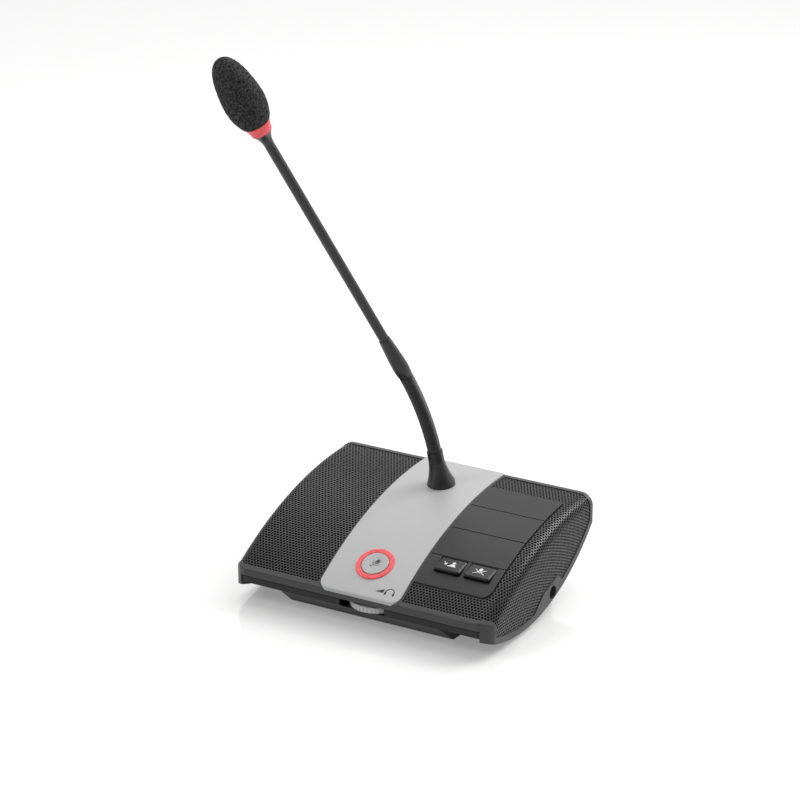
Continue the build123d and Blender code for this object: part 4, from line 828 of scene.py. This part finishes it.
@dataclass
class Grille:
    """A perforated sheet over one side of the unit, with near-black cloth behind it that paints the
    shade in its holes.
    """

    side: Side
    pitch: float = 2.3
    hole: float = 1.68
    cell_sides: int = 6
    hole_sides: int = 12
    merge_share: float = 0.01
    sheet_thickness: float = 0.4
    sheet_inset: float = 0.42
    sheet_smooth: float = 20.0
    cloth_thickness: float = 0.12
    cloth_inset: float = 0.95
    cloth_smooth: float = 40.0
    cloth_squares: int = 44
    inner: float = 31.0
    down_side: float = 38.0
    front_share: float = 0.84
    back_share: float = 0.8
    front_band: float = 3.1
    corner: float = 11.9
    corner_x: float = 84.0
    corner_turns: range = range(5, 90, 8)
    back_band: float = 3.7
    rim_width: float = 4.5
    rim_cuts: int = 26
    trim_reach: float = 4.0
    split_reach: float = 3.0
    plate_left: float = 30.8
    plate_right: float = 85.2
    plate_front: float = 17.3
    plate_back: float = 119.5
    plate_overlap: float = 2.0
    plate_corner: float = 6.2
    plate_turns: range = range(75, 0, -15)
    plate_lowest: float = 15.0
    boss_foot: float = 2.2
    boss_rise: float = 12.1
    boss_cuts: int = 9
    boss_inner: float = 80.0
    boss_front: Pair = (59.0, 74.2)
    boss_back: Pair = (102.2, 94.2)

    def build(self) -> None:
        """Builds the sheet and its cloth and sets them in the housing."""
        word = self.side.name.lower()
        sheet = self.wrapped(self.lattice(), self.sheet_inset)
        self.cut(sheet)
        self.thicken(sheet, self.sheet_thickness)
        cloth = self.wrapped(self.grid(), self.cloth_inset)
        self.cut(cloth)
        self.thicken(cloth, self.cloth_thickness)
        front = add_piece(sheet, f"perforated_sheet_{word}", GRILLE, self.sheet_smooth)
        behind = add_piece(cloth, f"grille_cloth_painted_shade_{word}", CLOTH_PAINTED_SHADE, self.cloth_smooth)
        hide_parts(f"grille_{word}")
        for piece in (front, behind):
            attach(piece, "base")

    def span(self) -> Pair:
        """How far the unrolled sheet reaches along the crown.

        Returns:
            Its front end and its back end, past the deepest part of the side.
        """
        radius = CROWN.top.radius
        front = math.asin((CROWN.front - CROWN.top.centre_y) / (radius * self.front_share)) * radius
        back = math.asin((CROWN.back - CROWN.top.centre_y) / (radius * self.back_share)) * radius
        return front - self.pitch, back + self.pitch

    def reach(self) -> float:
        """How far the unrolled sheet reaches over the top and down the side."""
        return CROWN.flat + CROWN.bend + self.down_side

    def lattice(self) -> Mesh:
        """Makes the flat perforated sheet from one cell, repeated in staggered rows.

        Returns:
            The sheet.
        """
        mesh = bmesh.new()
        corner = self.pitch / math.sqrt(3)
        bmesh.ops.create_circle(mesh, radius=corner, segments=self.cell_sides)
        bmesh.ops.create_circle(mesh, radius=self.hole / 2, segments=self.hole_sides)
        bmesh.ops.bridge_loops(mesh, edges=mesh.edges[:])
        front, back = self.span()
        row = self.pitch * math.sqrt(3) / 2
        columns = int((self.reach() - self.inner) / self.pitch) + 2
        self.repeat(mesh, [Vector((self.pitch * k, 0, 0)) for k in range(1, columns)])
        rows = int((back - front) / row) + 1
        self.repeat(mesh, [Vector((self.pitch / 2 * (k % 2), row * k, 0)) for k in range(1, rows)])
        bmesh.ops.remove_doubles(mesh, verts=mesh.verts, dist=self.pitch * self.merge_share)
        bmesh.ops.translate(mesh, verts=mesh.verts, vec=(self.inner - self.pitch / 2, front, 0))
        return mesh

    def grid(self) -> Mesh:
        """Makes the flat cloth as a grid of small squares.

        Returns:
            The cloth.
        """
        mesh = bmesh.new()
        front, back = self.span()
        left, right = self.inner - self.pitch, self.reach()
        count = self.cloth_squares
        bmesh.ops.create_grid(mesh, x_segments=count, y_segments=count, size=0.5)
        bmesh.ops.scale(mesh, vec=(right - left, back - front, 1), verts=mesh.verts)
        middle = ((left + right) / 2, (front + back) / 2, 0)
        bmesh.ops.translate(mesh, verts=mesh.verts, vec=middle)
        return mesh

    def repeat(self, mesh: Mesh, steps: list[Vector]) -> None:
        """Copies all that the mesh holds to further places.

        Args:
            mesh: the mesh.
            steps: how far each copy is moved.
        """
        first = [*mesh.verts, *mesh.edges, *mesh.faces]
        for step in steps:
            copied = bmesh.ops.duplicate(mesh, geom=first)["geom"]
            verts = [item for item in copied if isinstance(item, bmesh.types.BMVert)]
            bmesh.ops.translate(mesh, verts=verts, vec=step)

    def wrapped(self, mesh: Mesh, inset: float) -> Mesh:
        """Wraps a flat mesh over the crown, the shoulder and the side.

        Args:
            mesh: the flat mesh.
            inset: its depth under the surface.

        Returns:
            The same mesh.
        """
        for face in mesh.faces:
            if face.normal.z < 0:
                face.normal_flip()
        for vert in mesh.verts:
            vert.co = CROWN.point(self.side.value * vert.co.x, vert.co.y, inset)
        if self.side is Side.LEFT:
            bmesh.ops.reverse_faces(mesh, faces=mesh.faces)
        mesh.normal_update()
        return mesh

    def cut(self, mesh: Mesh) -> None:
        """Cuts the wrapped sheet to the outline of its recess.

        Args:
            mesh: the sheet.
        """
        sign = self.side.value
        front, back = CROWN.front + self.front_band, CROWN.back - self.back_band
        planes = [
            Plane(Vector((0, front, 0)), Vector((0, -1, 0))),
            Plane(Vector((0, back, 0)), Vector((0, 1, 0))),
            Plane(Vector((sign * self.inner, 0, 0)), Vector((-sign, 0, 0))),
        ]
        middle = Vector((sign * self.corner_x, front + self.corner, 0))
        planes += corner_planes(middle, self.corner, sign, self.corner_turns)
        planes += CROWN.rim_planes(self.rim_width, front, back, self.rim_cuts)
        trim(mesh, planes, self.trim_reach)
        if self.side is Side.RIGHT:
            self.open_pocket(mesh)
            self.open_boss(mesh)

    def open_pocket(self, mesh: Mesh) -> None:
        """Takes out the space of the key plate.

        Args:
            mesh: the sheet.
        """
        left, right = self.plate_left - self.plate_overlap, self.plate_right
        front, back = CROWN.front + self.plate_front, CROWN.front + self.plate_back
        planes = [
            Plane(Vector((right, 0, 0)), Vector((1, 0, 0))),
            Plane(Vector((left, 0, 0)), Vector((-1, 0, 0))),
            Plane(Vector((0, front, 0)), Vector((0, -1, 0))),
            Plane(Vector((0, back, 0)), Vector((0, 1, 0))),
        ]
        middle = Vector((right - self.plate_corner, front + self.plate_corner, 0))
        planes += corner_planes(middle, self.plate_corner, 1, self.plate_turns)
        split(mesh, planes, self.split_reach)
        inside = []
        for face in mesh.faces:
            place = face.calc_center_median()
            if place.z > self.plate_lowest and not any(plane.outside(place) for plane in planes):
                inside.append(face)
        bmesh.ops.delete(mesh, geom=inside, context="FACES")

    def boss_end(self, foot: float, top: float, sign: int) -> Plane:
        """The sloped plane at one end of the boss round the headphone jack.

        Args:
            foot: its lower edge's distance from the front.
            top: its upper edge's distance from the front.
            sign: -1 for the front end, 1 for the back end.

        Returns:
            The plane, which faces away from the boss.
        """
        low, high = CROWN.front + foot, CROWN.front + top
        first = Vector((0, low, CROWN.rim.moved_in(self.boss_foot).height(low)))
        last = Vector((0, high, CROWN.rim.moved_in(self.boss_rise).height(high)))
        along = (last - first).normalized()
        return Plane(first, Vector((0, sign * along.z, -sign * along.y)))

    def open_boss(self, mesh: Mesh) -> None:
        """Takes out the space of the boss round the headphone jack.

        Args:
            mesh: the sheet.
        """
        ends = [self.boss_end(*self.boss_front, -1), self.boss_end(*self.boss_back, 1)]
        front, back = CROWN.front + self.boss_front[0], CROWN.front + self.boss_back[0]
        top = CROWN.rim_planes(self.boss_rise, front, back, self.boss_cuts)
        split(mesh, ends + top, self.split_reach)
        inside = []
        for face in mesh.faces:
            place = face.calc_center_median()
            between = not any(plane.outside(place) for plane in ends)
            below = place.x > self.boss_inner and any(plane.outside(place) for plane in top)
            if between and below:
                inside.append(face)
        bmesh.ops.delete(mesh, geom=inside, context="FACES")

    def thicken(self, mesh: Mesh, thickness: float) -> None:
        """Gives the sheet its thickness, away from the outside.

        Args:
            mesh: the sheet.
            thickness: its thickness.
        """
        loose = [vert for vert in mesh.verts if not vert.link_faces]
        bmesh.ops.delete(mesh, geom=loose, context="VERTS")
        bmesh.ops.remove_doubles(mesh, verts=mesh.verts, dist=SHEET_MERGE)
        mesh.normal_update()
        bmesh.ops.solidify(mesh, geom=mesh.faces[:], thickness=thickness)


# Gooseneck microphone


@dataclass
class Gooseneck:
    """The ribbed sheath of the neck, which bends over its joints, and its frame."""

    place: float = 109.3
    panel_thickness: float = 0.8
    cone_height: float = 24.5
    neck_exit: float = 1.0
    joints: int = 6
    link: float = 11.2
    first_lean: float = math.radians(11.3)
    lean: float = math.radians(28.6)
    heading: float = math.radians(40.0)
    radius: float = 4.62
    wall: float = 0.6
    rib: float = 0.36
    ribs: int = 9
    rib_shares: Triple = (0.25, 0.6, 0.85)
    around: int = 32
    smooth: float = 50.0
    sleeve_rim: float = 2.0
    end_gap: float = 0.1
    held: float = 1.0
    rim_held: float = 0.2
    axis: Vector = field(init=False)
    points: list[Vector] = field(init=False)
    directions: list[Vector] = field(init=False)

    def __post_init__(self) -> None:
        """Works out the joints and the directions between them."""
        start, end = self.leaning(self.first_lean), self.leaning(self.lean)
        self.axis = start.cross(end).normalized()
        whole = start.angle(end)
        across = self.axis.cross(start)
        turns = [whole * k / self.joints for k in range(self.joints + 1)]
        self.directions = [start * math.cos(turn) + across * math.sin(turn) for turn in turns]
        seat = CROWN.seat(0, CROWN.front + self.place, -self.panel_thickness)
        point = seat.translation + start * (self.cone_height + self.neck_exit)
        self.points = []
        for direction in self.directions[1:]:
            self.points.append(point)
            point = point + direction * self.link

    def leaning(self, angle: float) -> Vector:
        """The direction that leans from the upright, towards the heading.

        Args:
            angle: how far it leans, in radians.

        Returns:
            The direction.
        """
        flat = math.sin(angle)
        left, ahead = math.sin(self.heading), math.cos(self.heading)
        return Vector((-flat * left, -flat * ahead, math.cos(angle)))

    def build(self) -> None:
        """Builds the ribbed sheath over each joint."""
        for k in range(self.joints):
            self.build_sheath(k)

    def is_last(self, k: int) -> bool:
        """Whether a joint is the one under the microphone."""
        return k == self.joints - 1

    def route(self, k: int) -> tuple[Vector, Vector, Vector]:
        """Where one length of the sheath starts, bends and ends.

        Args:
            k: the joint that it bends over.

        Returns:
            Its start, the joint and its end.
        """
        joint = self.points[k]
        back = self.neck_exit - self.end_gap if k == 0 else self.link / 2
        ahead = self.sleeve_rim - self.end_gap if self.is_last(k) else self.link / 2
        return joint - self.directions[k] * back, joint, joint + self.directions[k + 1] * ahead

    def rib_outline(self, length: float) -> list[Pair]:
        """The outline of one length of the sheath.

        Args:
            length: how long it is.

        Returns:
            The points of its outer side, rib by rib, and of its ends.
        """
        count = max(2, round(length / self.link * self.ribs))
        pitch = length / count
        inner, valley = self.radius - self.wall, self.radius - self.rib
        crest_start, crest_end, foot = self.rib_shares
        outline = [(inner, 0.0)]
        for n in range(count):
            low = n * pitch
            outline += [
                (valley, low),
                (self.radius, low + pitch * crest_start),
                (self.radius, low + pitch * crest_end),
                (valley, low + pitch * foot),
            ]
        return [*outline, (valley, length), (inner, length)]

    def build_sheath(self, k: int) -> None:
        """Builds the ribbed sheath that bends over one joint.

        Args:
            k: the joint's number, from the base.
        """
        start, joint, end = self.route(k)
        length = (joint - start).length + (end - joint).length
        mesh = bmesh.new()
        spun(mesh, self.rib_outline(length), [], self.around)
        for vert in mesh.verts:
            share = vert.co.z / length
            centre = start.lerp(joint, share).lerp(joint.lerp(end, share), share)
            ahead = (joint - start).lerp(end - joint, share).normalized()
            vert.co = centre + self.axis * vert.co.x + ahead.cross(self.axis) * vert.co.y
        piece = add_piece(mesh, f"neck_sheath_{k + 1}", NECK, self.smooth)
        if k > 0:
            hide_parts(f"neck_link_{k}")
        free = self.link / 2 - self.held
        ahead = self.sleeve_rim - self.rim_held if self.is_last(k) else free
        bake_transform(piece)

    def stem_frame(self) -> Matrix:
        """The frame of the microphone, with its origin on the last joint.

        Returns:
            Its matrix, whose Z runs along the stem.
        """
        ahead = self.directions[-1]
        axes = Matrix((self.axis, ahead.cross(self.axis), ahead)).transposed().to_4x4()
        return Matrix.Translation(self.points[-1]) @ axes


@dataclass
class Foam:
    """The egg-shaped foam over the microphone, with its bore and its uneven surface."""

    neck: Gooseneck
    sleeve: float = 33.0
    stem: float = 156.0
    flare: float = 11.4
    ring: float = 6.6
    gap: float = 0.05
    length: float = 49.5
    radius: float = 13.45
    widest_share: float = 0.35
    lower_share: float = 0.467
    draw_in: float = 0.44
    draw_power: float = 1.6
    tip_power: float = 7.0
    rings: int = 120
    steps: int = 180
    smooth: float = 80.0
    bore: float = 5.6
    straight: float = 31.5
    bore_rings: int = 8
    bore_margin: float = 0.5
    top_margin: float = 8.0
    wave: float = 0.15
    waves: float = 0.45
    pit: float = 0.28
    pits: float = 0.8
    pit_slope: float = 1.6

    def build(self) -> None:
        """Builds the foam and sets it on the microphone's ring."""
        mesh = bmesh.new()
        spun(mesh, self.outer_outline() + self.bore_outline(), [self.rings + 1], self.steps)
        self.roughen(mesh)
        low = self.sleeve + self.stem + self.flare + self.ring + self.gap
        bmesh.ops.translate(mesh, verts=mesh.verts, vec=(0, 0, low))
        bmesh.ops.transform(mesh, matrix=self.neck.stem_frame(), verts=mesh.verts)
        foam = add_piece(mesh, "foam_egg", FOAM, self.smooth)
        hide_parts("foam_windshield")
        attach(foam, "microphone")

    def reach(self, turn: float) -> float:
        """The foam's radius at an angle along its outline.

        Args:
            turn: the angle from its widest place, in radians, upwards.

        Returns:
            The radius, which draws in towards the tip.
        """
        if turn <= 0:
            return self.radius * math.cos(turn)
        share = math.sin(turn)
        drawn = 1 - self.draw_in * share**self.draw_power
        return self.radius * drawn * math.sqrt(max(0.0, 1 - share**self.tip_power))

    def outer_outline(self) -> list[Pair]:
        """The outline of the foam's outer side.

        Returns:
            Its points, from the mouth of the bore to the tip.
        """
        widest, below = self.length * self.widest_share, self.length * self.lower_share
        first = -math.asin(widest / below)
        outline = [(self.bore, 0.0)]
        for k in range(self.rings + 1):
            turn = first + (math.pi / 2 - first) * k / self.rings
            half = below if turn < 0 else self.length - widest
            outline.append((self.reach(turn), widest + half * math.sin(turn)))
        return outline

    def bore_outline(self) -> list[Pair]:
        """The outline of the bore's round end.

        Returns:
            Its points, from the end to where the bore runs straight.
        """
        turns = [math.pi / 2 * (1 - k / self.bore_rings) for k in range(self.bore_rings + 1)]
        return [
            (self.bore * math.cos(turn), self.straight + self.bore * math.sin(turn))
            for turn in turns
        ]

    def roughen(self, mesh: Mesh) -> None:
        """Gives the outer side slow waves and the fine pits of its cells.

        Args:
            mesh: the foam, upright, with its lower end at the origin.
        """
        mesh.normal_update()
        for vert in mesh.verts:
            clear_of_bore = math.hypot(vert.co.x, vert.co.y) > self.bore + self.bore_margin
            if clear_of_bore or vert.co.z > self.straight + self.top_margin:
                nearest = noise.voronoi(vert.co * self.pits)[0]
                pit = min(1.0, self.pit_slope * (nearest[1] - nearest[0]))
                wave = noise.noise(vert.co * self.waves) * self.wave
                vert.co += vert.normal * (wave - self.pit * pit)


# Pictograms and contacts

DISC_SIDES = 32
ARC_BARS = 10


@dataclass
class Relief:
    """A small raised drawing or a row of contacts, laid on a surface from discs and bars."""

    name: str
    seat: Matrix
    body: str
    finish: Finish
    height: float = 0.08
    size: float = 1.0
    mesh: Mesh = field(default_factory=bmesh.new)

    def disc(self, middle: Pair, radius: float, half: bool = False) -> None:
        """Adds a disc, or only its upper half.

        Args:
            middle: its middle, across and upwards.
            radius: its radius.
            half: whether only the upper half is kept.
        """
        part = bmesh.new()
        bmesh.ops.create_circle(part, cap_ends=True, radius=radius, segments=DISC_SIDES)
        if half:
            whole = [*part.verts, *part.edges, *part.faces]
            bmesh.ops.bisect_plane(
                part, geom=whole, plane_co=(0, 0, 0), plane_no=(0, -1, 0), clear_outer=True
            )
        self.join(part, Matrix.Translation((*middle, 0)))

    def bars(self, strokes: Strokes, width: float) -> None:
        """Adds straight bars.

        Args:
            strokes: for each bar, the middles of its two ends.
            width: their width.
        """
        for stroke in strokes:
            part = bmesh.new()
            bmesh.ops.create_grid(part, x_segments=1, y_segments=1, size=0.5)
            first, last = (Vector((*end, 0)) for end in stroke)
            along = last - first
            turn = Matrix.Rotation(math.atan2(along.y, along.x), 4, "Z")
            bmesh.ops.scale(part, vec=(along.length, width, 1), verts=part.verts)
            self.join(part, Matrix.Translation((first + last) / 2) @ turn)

    def arc(self, middle: Pair, radius: float, turns: Pair, width: float) -> None:
        """Adds a curved bar, made of short straight ones.

        Args:
            middle: the middle of its circle, across and upwards.
            radius: the circle's radius.
            turns: the angles in degrees at which it starts and ends.
            width: its width.
        """
        first, last = turns
        places = []
        for k in range(ARC_BARS + 1):
            turn = math.radians(first + (last - first) * k / ARC_BARS)
            x, y = middle
            places.append((x + radius * math.cos(turn), y + radius * math.sin(turn)))
        self.bars(tuple(zip(places, places[1:])), width)

    def join(self, part: Mesh, place: Matrix) -> None:
        """Raises a flat shape to its thickness and adds it at its place.

        Args:
            part: the flat shape, which is freed.
            place: where it goes in the drawing.
        """
        raised = bmesh.ops.extrude_face_region(part, geom=part.faces[:])["geom"]
        verts = [item for item in raised if isinstance(item, bmesh.types.BMVert)]
        bmesh.ops.translate(part, verts=verts, vec=(0, 0, self.height))
        bmesh.ops.recalc_face_normals(part, faces=part.faces)
        bmesh.ops.transform(part, matrix=place, verts=part.verts)
        data = bpy.data.meshes.new("part")
        part.to_mesh(data)
        part.free()
        self.mesh.from_mesh(data)
        bpy.data.meshes.remove(data)

    def build(self, slot: str) -> None:
        """Sets the drawing on its surface as one piece.

        Args:
            slot: not used.
        """
        grown = Matrix.Diagonal((self.size, self.size, 1.0, 1.0))
        bmesh.ops.transform(self.mesh, matrix=self.seat @ grown, verts=self.mesh.verts)
        piece = add_piece(self.mesh, self.name, self.finish)
        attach(piece, self.body)


@dataclass
class KeyMarks:
    """A person and an arrow on the left key, and a crossed-out person on the right."""

    left_x: float = 48.9
    right_x: float = 70.3
    place: float = 34.4
    depth: float = 13.0
    rise: Pair = (3.3, 0.8)
    sunk: float = 0.02
    left_size: float = 1.45
    right_size: float = 1.6
    head: float = 0.8
    head_lift: float = 2.2
    shoulders: float = 1.35
    left_person: Pair = (1.3, -0.9)
    right_person: Pair = (0.0, -1.0)
    desk: Strokes = (((-1.0, -1.1), (3.1, -1.1)),)
    desk_width: float = 0.5
    arrow: Strokes = (
        ((-3.4, 1.3), (-1.9, -0.2)),
        ((-1.8, -0.4), (-2.9, -0.4)),
        ((-1.8, -0.45), (-1.8, 0.7)),
    )
    arrow_width: float = 0.42
    cross: Strokes = (((-2.5, -1.7), (2.5, 1.1)), ((-2.5, 1.1), (2.5, -1.7)))
    cross_width: float = 0.34

    def seat(self, x: float) -> Matrix:
        """The sloped top of a key, in the middle of the key.

        Args:
            x: the key's place across.

        Returns:
            The matrix of the place.
        """
        front, back = self.rise
        slope = math.atan2(front - back, self.depth)
        lift = Matrix.Translation((0, 0, (front + back) / 2 - self.sunk))
        return CROWN.seat(x, CROWN.front + self.place) @ lift @ Matrix.Rotation(-slope, 4, "X")

    def draw_person(self, mark: Relief, foot: Pair) -> None:
        """Draws a head over a pair of shoulders.

        Args:
            mark: the drawing that they go into.
            foot: the middle of the shoulders' lower edge.
        """
        mark.disc((foot[0], foot[1] + self.head_lift), self.head)
        mark.disc(foot, self.shoulders, half=True)

    def build(self) -> None:
        """Builds the drawings on both keys."""
        request = Relief(
            "mark_request", self.seat(self.left_x), "key_left", INK_WHITE, size=self.left_size
        )
        self.draw_person(request, self.left_person)
        request.bars(self.desk, self.desk_width)
        request.bars(self.arrow, self.arrow_width)
        request.build("key")
        mute = Relief(
            "mark_mute", self.seat(self.right_x), "key_right", INK_WHITE, size=self.right_size
        )
        self.draw_person(mute, self.right_person)
        mute.bars(self.cross, self.cross_width)
        mute.build("key")


@dataclass
class ButtonMark:
    """A small microphone on the button."""

    place: float = 23.0
    top: float = 1.44
    turn: float = math.radians(-35)
    height: float = 0.1
    size: float = 1.45
    capsule: Strokes = (((0, 0.9), (0, 2.6)),)
    capsule_width: float = 2.1
    holder_middle: Pair = (0, 1.2)
    holder_radius: float = 2.0
    holder_turns: Pair = (190, 350)
    stand: Strokes = (((0, -0.8), (0, -2.2)), ((-1.3, -2.3), (1.3, -2.3)))
    stroke: float = 0.42

    def build(self) -> None:
        """Builds the drawing."""
        seat = CROWN.seat(0, CROWN.front + self.place, -self.top)
        seat = seat @ Matrix.Rotation(self.turn, 4, "Z")
        mark = Relief("mark_microphone", seat, "mic_button", INK_GREY, self.height, self.size)
        for end in self.capsule[0]:
            mark.disc(end, self.capsule_width / 2)
        mark.bars(self.capsule, self.capsule_width)
        mark.arc(self.holder_middle, self.holder_radius, self.holder_turns, self.stroke)
        mark.bars(self.stand, self.stroke)
        mark.build("button")


@dataclass
class PanelMarks:
    """A volume wedge and a pair of headphones at the front of the centre panel."""

    place: float = 6.4
    top: float = 0.79
    wedge_x: float = 13.2
    wedge_size: float = 1.4
    wedge_left: float = -2.0
    wedge_foot: float = -0.9
    wedge_bars: int = 8
    wedge_step: float = 0.5
    wedge_width: float = 0.55
    wedge_rise: Pair = (0.2, 1.9)
    phones_x: float = 20.4
    phones_size: float = 1.6
    band_middle: Pair = (0, -0.2)
    band_radius: float = 1.9
    band_turns: Pair = (0, 180)
    band_width: float = 0.34
    ears: Strokes = (((-1.8, -1.4), (-1.8, -0.1)), ((1.8, -1.4), (1.8, -0.1)))
    ear_width: float = 0.85

    def seat(self, x: float) -> Matrix:
        """The place on the panel's front end, at a place across."""
        return CROWN.seat(x, CROWN.front + self.place, -self.top)

    def build(self) -> None:
        """Builds both drawings."""
        wedge = Relief(
            "mark_volume", self.seat(self.wedge_x), "base", INK_DARK, size=self.wedge_size
        )
        first, last = self.wedge_rise
        for k in range(self.wedge_bars):
            rise = first + (last - first) * k / (self.wedge_bars - 1)
            left, middle = self.wedge_left + self.wedge_step * k, self.wedge_foot + rise / 2
            wedge.bars((((left, middle), (left + self.wedge_width, middle)),), rise)
        wedge.build("panel")
        phones = Relief(
            "mark_headphones", self.seat(self.phones_x), "base", INK_DARK, size=self.phones_size
        )
        phones.arc(self.band_middle, self.band_radius, self.band_turns, self.band_width)
        phones.bars(self.ears, self.ear_width)
        phones.build("panel")


@dataclass
class Contacts:
    """The eight spring wires in each network socket."""

    pitch: float = 1.02
    count: int = 8
    width: float = 0.35
    height: float = 0.3
    tilt: float = math.radians(-9)
    port_pitch: float = 16.4
    back: float = 70.9
    floor: float = 14.6
    pivot_depth: float = 7.0
    pivot_lift: float = 1.3
    reach: Pair = (11.5, 3.0)

    def build(self) -> None:
        """Builds the wires, which rise from the mouth to the end of the socket."""
        y, z = self.back - self.pivot_depth, self.floor + self.pivot_lift
        deep_end, near_end = (self.pivot_depth - reach for reach in self.reach)
        xs = [(k - (self.count - 1) / 2) * self.pitch for k in range(self.count)]
        for side in Side:
            seat = Matrix.Translation((side.value * self.port_pitch / 2, y, z))
            seat = seat @ Matrix.Rotation(self.tilt, 4, "X")
            name = f"socket_wires_{side.name.lower()}"
            wires = Relief(name, seat, "base", GOLD, self.height)
            wires.bars(tuple(((x, deep_end), (x, near_end)) for x in xs), self.width)
            wires.build("socket")


# Stage: the floor in millimetres, as the pieces are, the lamps and the camera in metres


@dataclass(frozen=True)
class Lamp:
    """A square soft lamp that points at the unit."""

    name: str
    place: Triple
    size: float
    power: float
    aim: Triple = (0.0, 0.0, 0.05)

    def build(self) -> None:
        """Adds the lamp."""
        data = bpy.data.lights.new(self.name, "AREA")
        data.size = self.size
        data.energy = self.power
        lamp = bpy.data.objects.new(self.name, data)
        lamp.location = self.place
        sight = Vector(self.aim) - Vector(self.place)
        lamp.rotation_euler = sight.to_track_quat("-Z", "Y").to_euler()
        bpy.context.scene.collection.objects.link(lamp)


@dataclass
class Studio:
    """The pale floor, the soft light and the camera."""

    lamps: tuple[Lamp, ...] = (
        Lamp("lamp_above", (-0.1, 0.5, 1.35), size=1.5, power=10.0),
        Lamp("lamp_left", (-0.75, -0.95, 1.05), size=0.5, power=5.0),
        Lamp("lamp_right", (0.68, 0.83, 0.87), size=0.7, power=11.0),
    )
    floor_radius: float = 6000.0
    floor_sides: int = 64
    floor_drop: float = 0.05
    fill: float = 0.5
    dim_side: Triple = (0.46, -0.86, 0.2)
    dim_range: Pair = (0.1, 0.85)
    dim_levels: Pair = (1.0, 0.25)
    lens: float = 144.1
    sensor: float = 36.0
    farthest: float = 20.0
    position: Triple = (0.9443, -1.6640, 0.8853)
    back: Triple = (0.4630, -0.8076, 0.3653)
    right: Triple = (0.8675, 0.4974, 0.0)

    def build(self) -> None:
        """Builds the floor, the light and the camera."""
        self.build_floor()
        self.build_world()
        for lamp in self.lamps:
            lamp.build()
        self.build_camera()

    def build_floor(self) -> None:
        """Builds the round floor, a hair under the rubber feet."""
        mesh = bmesh.new()
        bmesh.ops.create_circle(
            mesh, cap_ends=True, radius=self.floor_radius, segments=self.floor_sides
        )
        for face in mesh.faces:
            if face.normal.z < 0:
                face.normal_flip()
        bmesh.ops.translate(mesh, verts=mesh.verts, vec=(0, 0, -self.floor_drop))
        add_piece(mesh, "floor", FLOOR)

    def build_world(self) -> None:
        """Makes the surroundings white, plain as light, and dimmer in front when reflected."""
        world = bpy.data.worlds.new("studio")
        bpy.context.scene.world = world
        world.use_nodes = True
        nodes = Nodes(world.node_tree)
        background = world.node_tree.nodes["Background"].inputs
        background["Color"].default_value = WHITE
        rays = nodes.add("ShaderNodeLightPath").outputs
        place = nodes.add("ShaderNodeTexCoord").outputs["Generated"]
        shade = nodes.mapped(nodes.agreement(place, self.dim_side), self.dim_range, self.dim_levels)
        strength = nodes.largest([
            nodes.product(rays["Is Glossy Ray"], shade),
            rays["Is Camera Ray"],
            rays["Is Transmission Ray"],
            nodes.product(rays["Is Diffuse Ray"], self.fill),
        ])
        nodes.link(strength, background["Strength"])

    def build_camera(self) -> None:
        """Sets the camera at the photograph's angle."""
        data = bpy.data.cameras.new("camera")
        data.lens = self.lens
        data.sensor_width = self.sensor
        data.clip_end = self.farthest
        camera = bpy.data.objects.new("camera", data)
        back, right = Vector(self.back), Vector(self.right)
        turn = Matrix((right, back.cross(right), back)).transposed().to_4x4()
        camera.matrix_world = Matrix.Translation(self.position) @ turn
        bpy.context.scene.collection.objects.link(camera)
        bpy.context.scene.camera = camera
        bpy.context.scene.view_settings.view_transform = "Standard"


def dress_nodes() -> None:
    """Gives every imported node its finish."""
    for name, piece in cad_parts.items():
        finish = NODE_FINISHES.get(name, GRILLE if name.startswith("grille") else BLACK)
        piece.data.materials.clear()
        piece.data.materials.append(finish.material())


def main() -> None:
    """Builds the pieces in order."""
    logging.basicConfig(level=logging.INFO, format="%(message)s")
    dress_nodes()
    for side in Side:
        Grille(side).build()
    neck = Gooseneck()
    neck.build()
    Foam(neck).build()
    KeyMarks().build()
    ButtonMark().build()
    PanelMarks().build()
    Contacts().build()
    Studio().build()


if __name__ == "__main__":
    main()
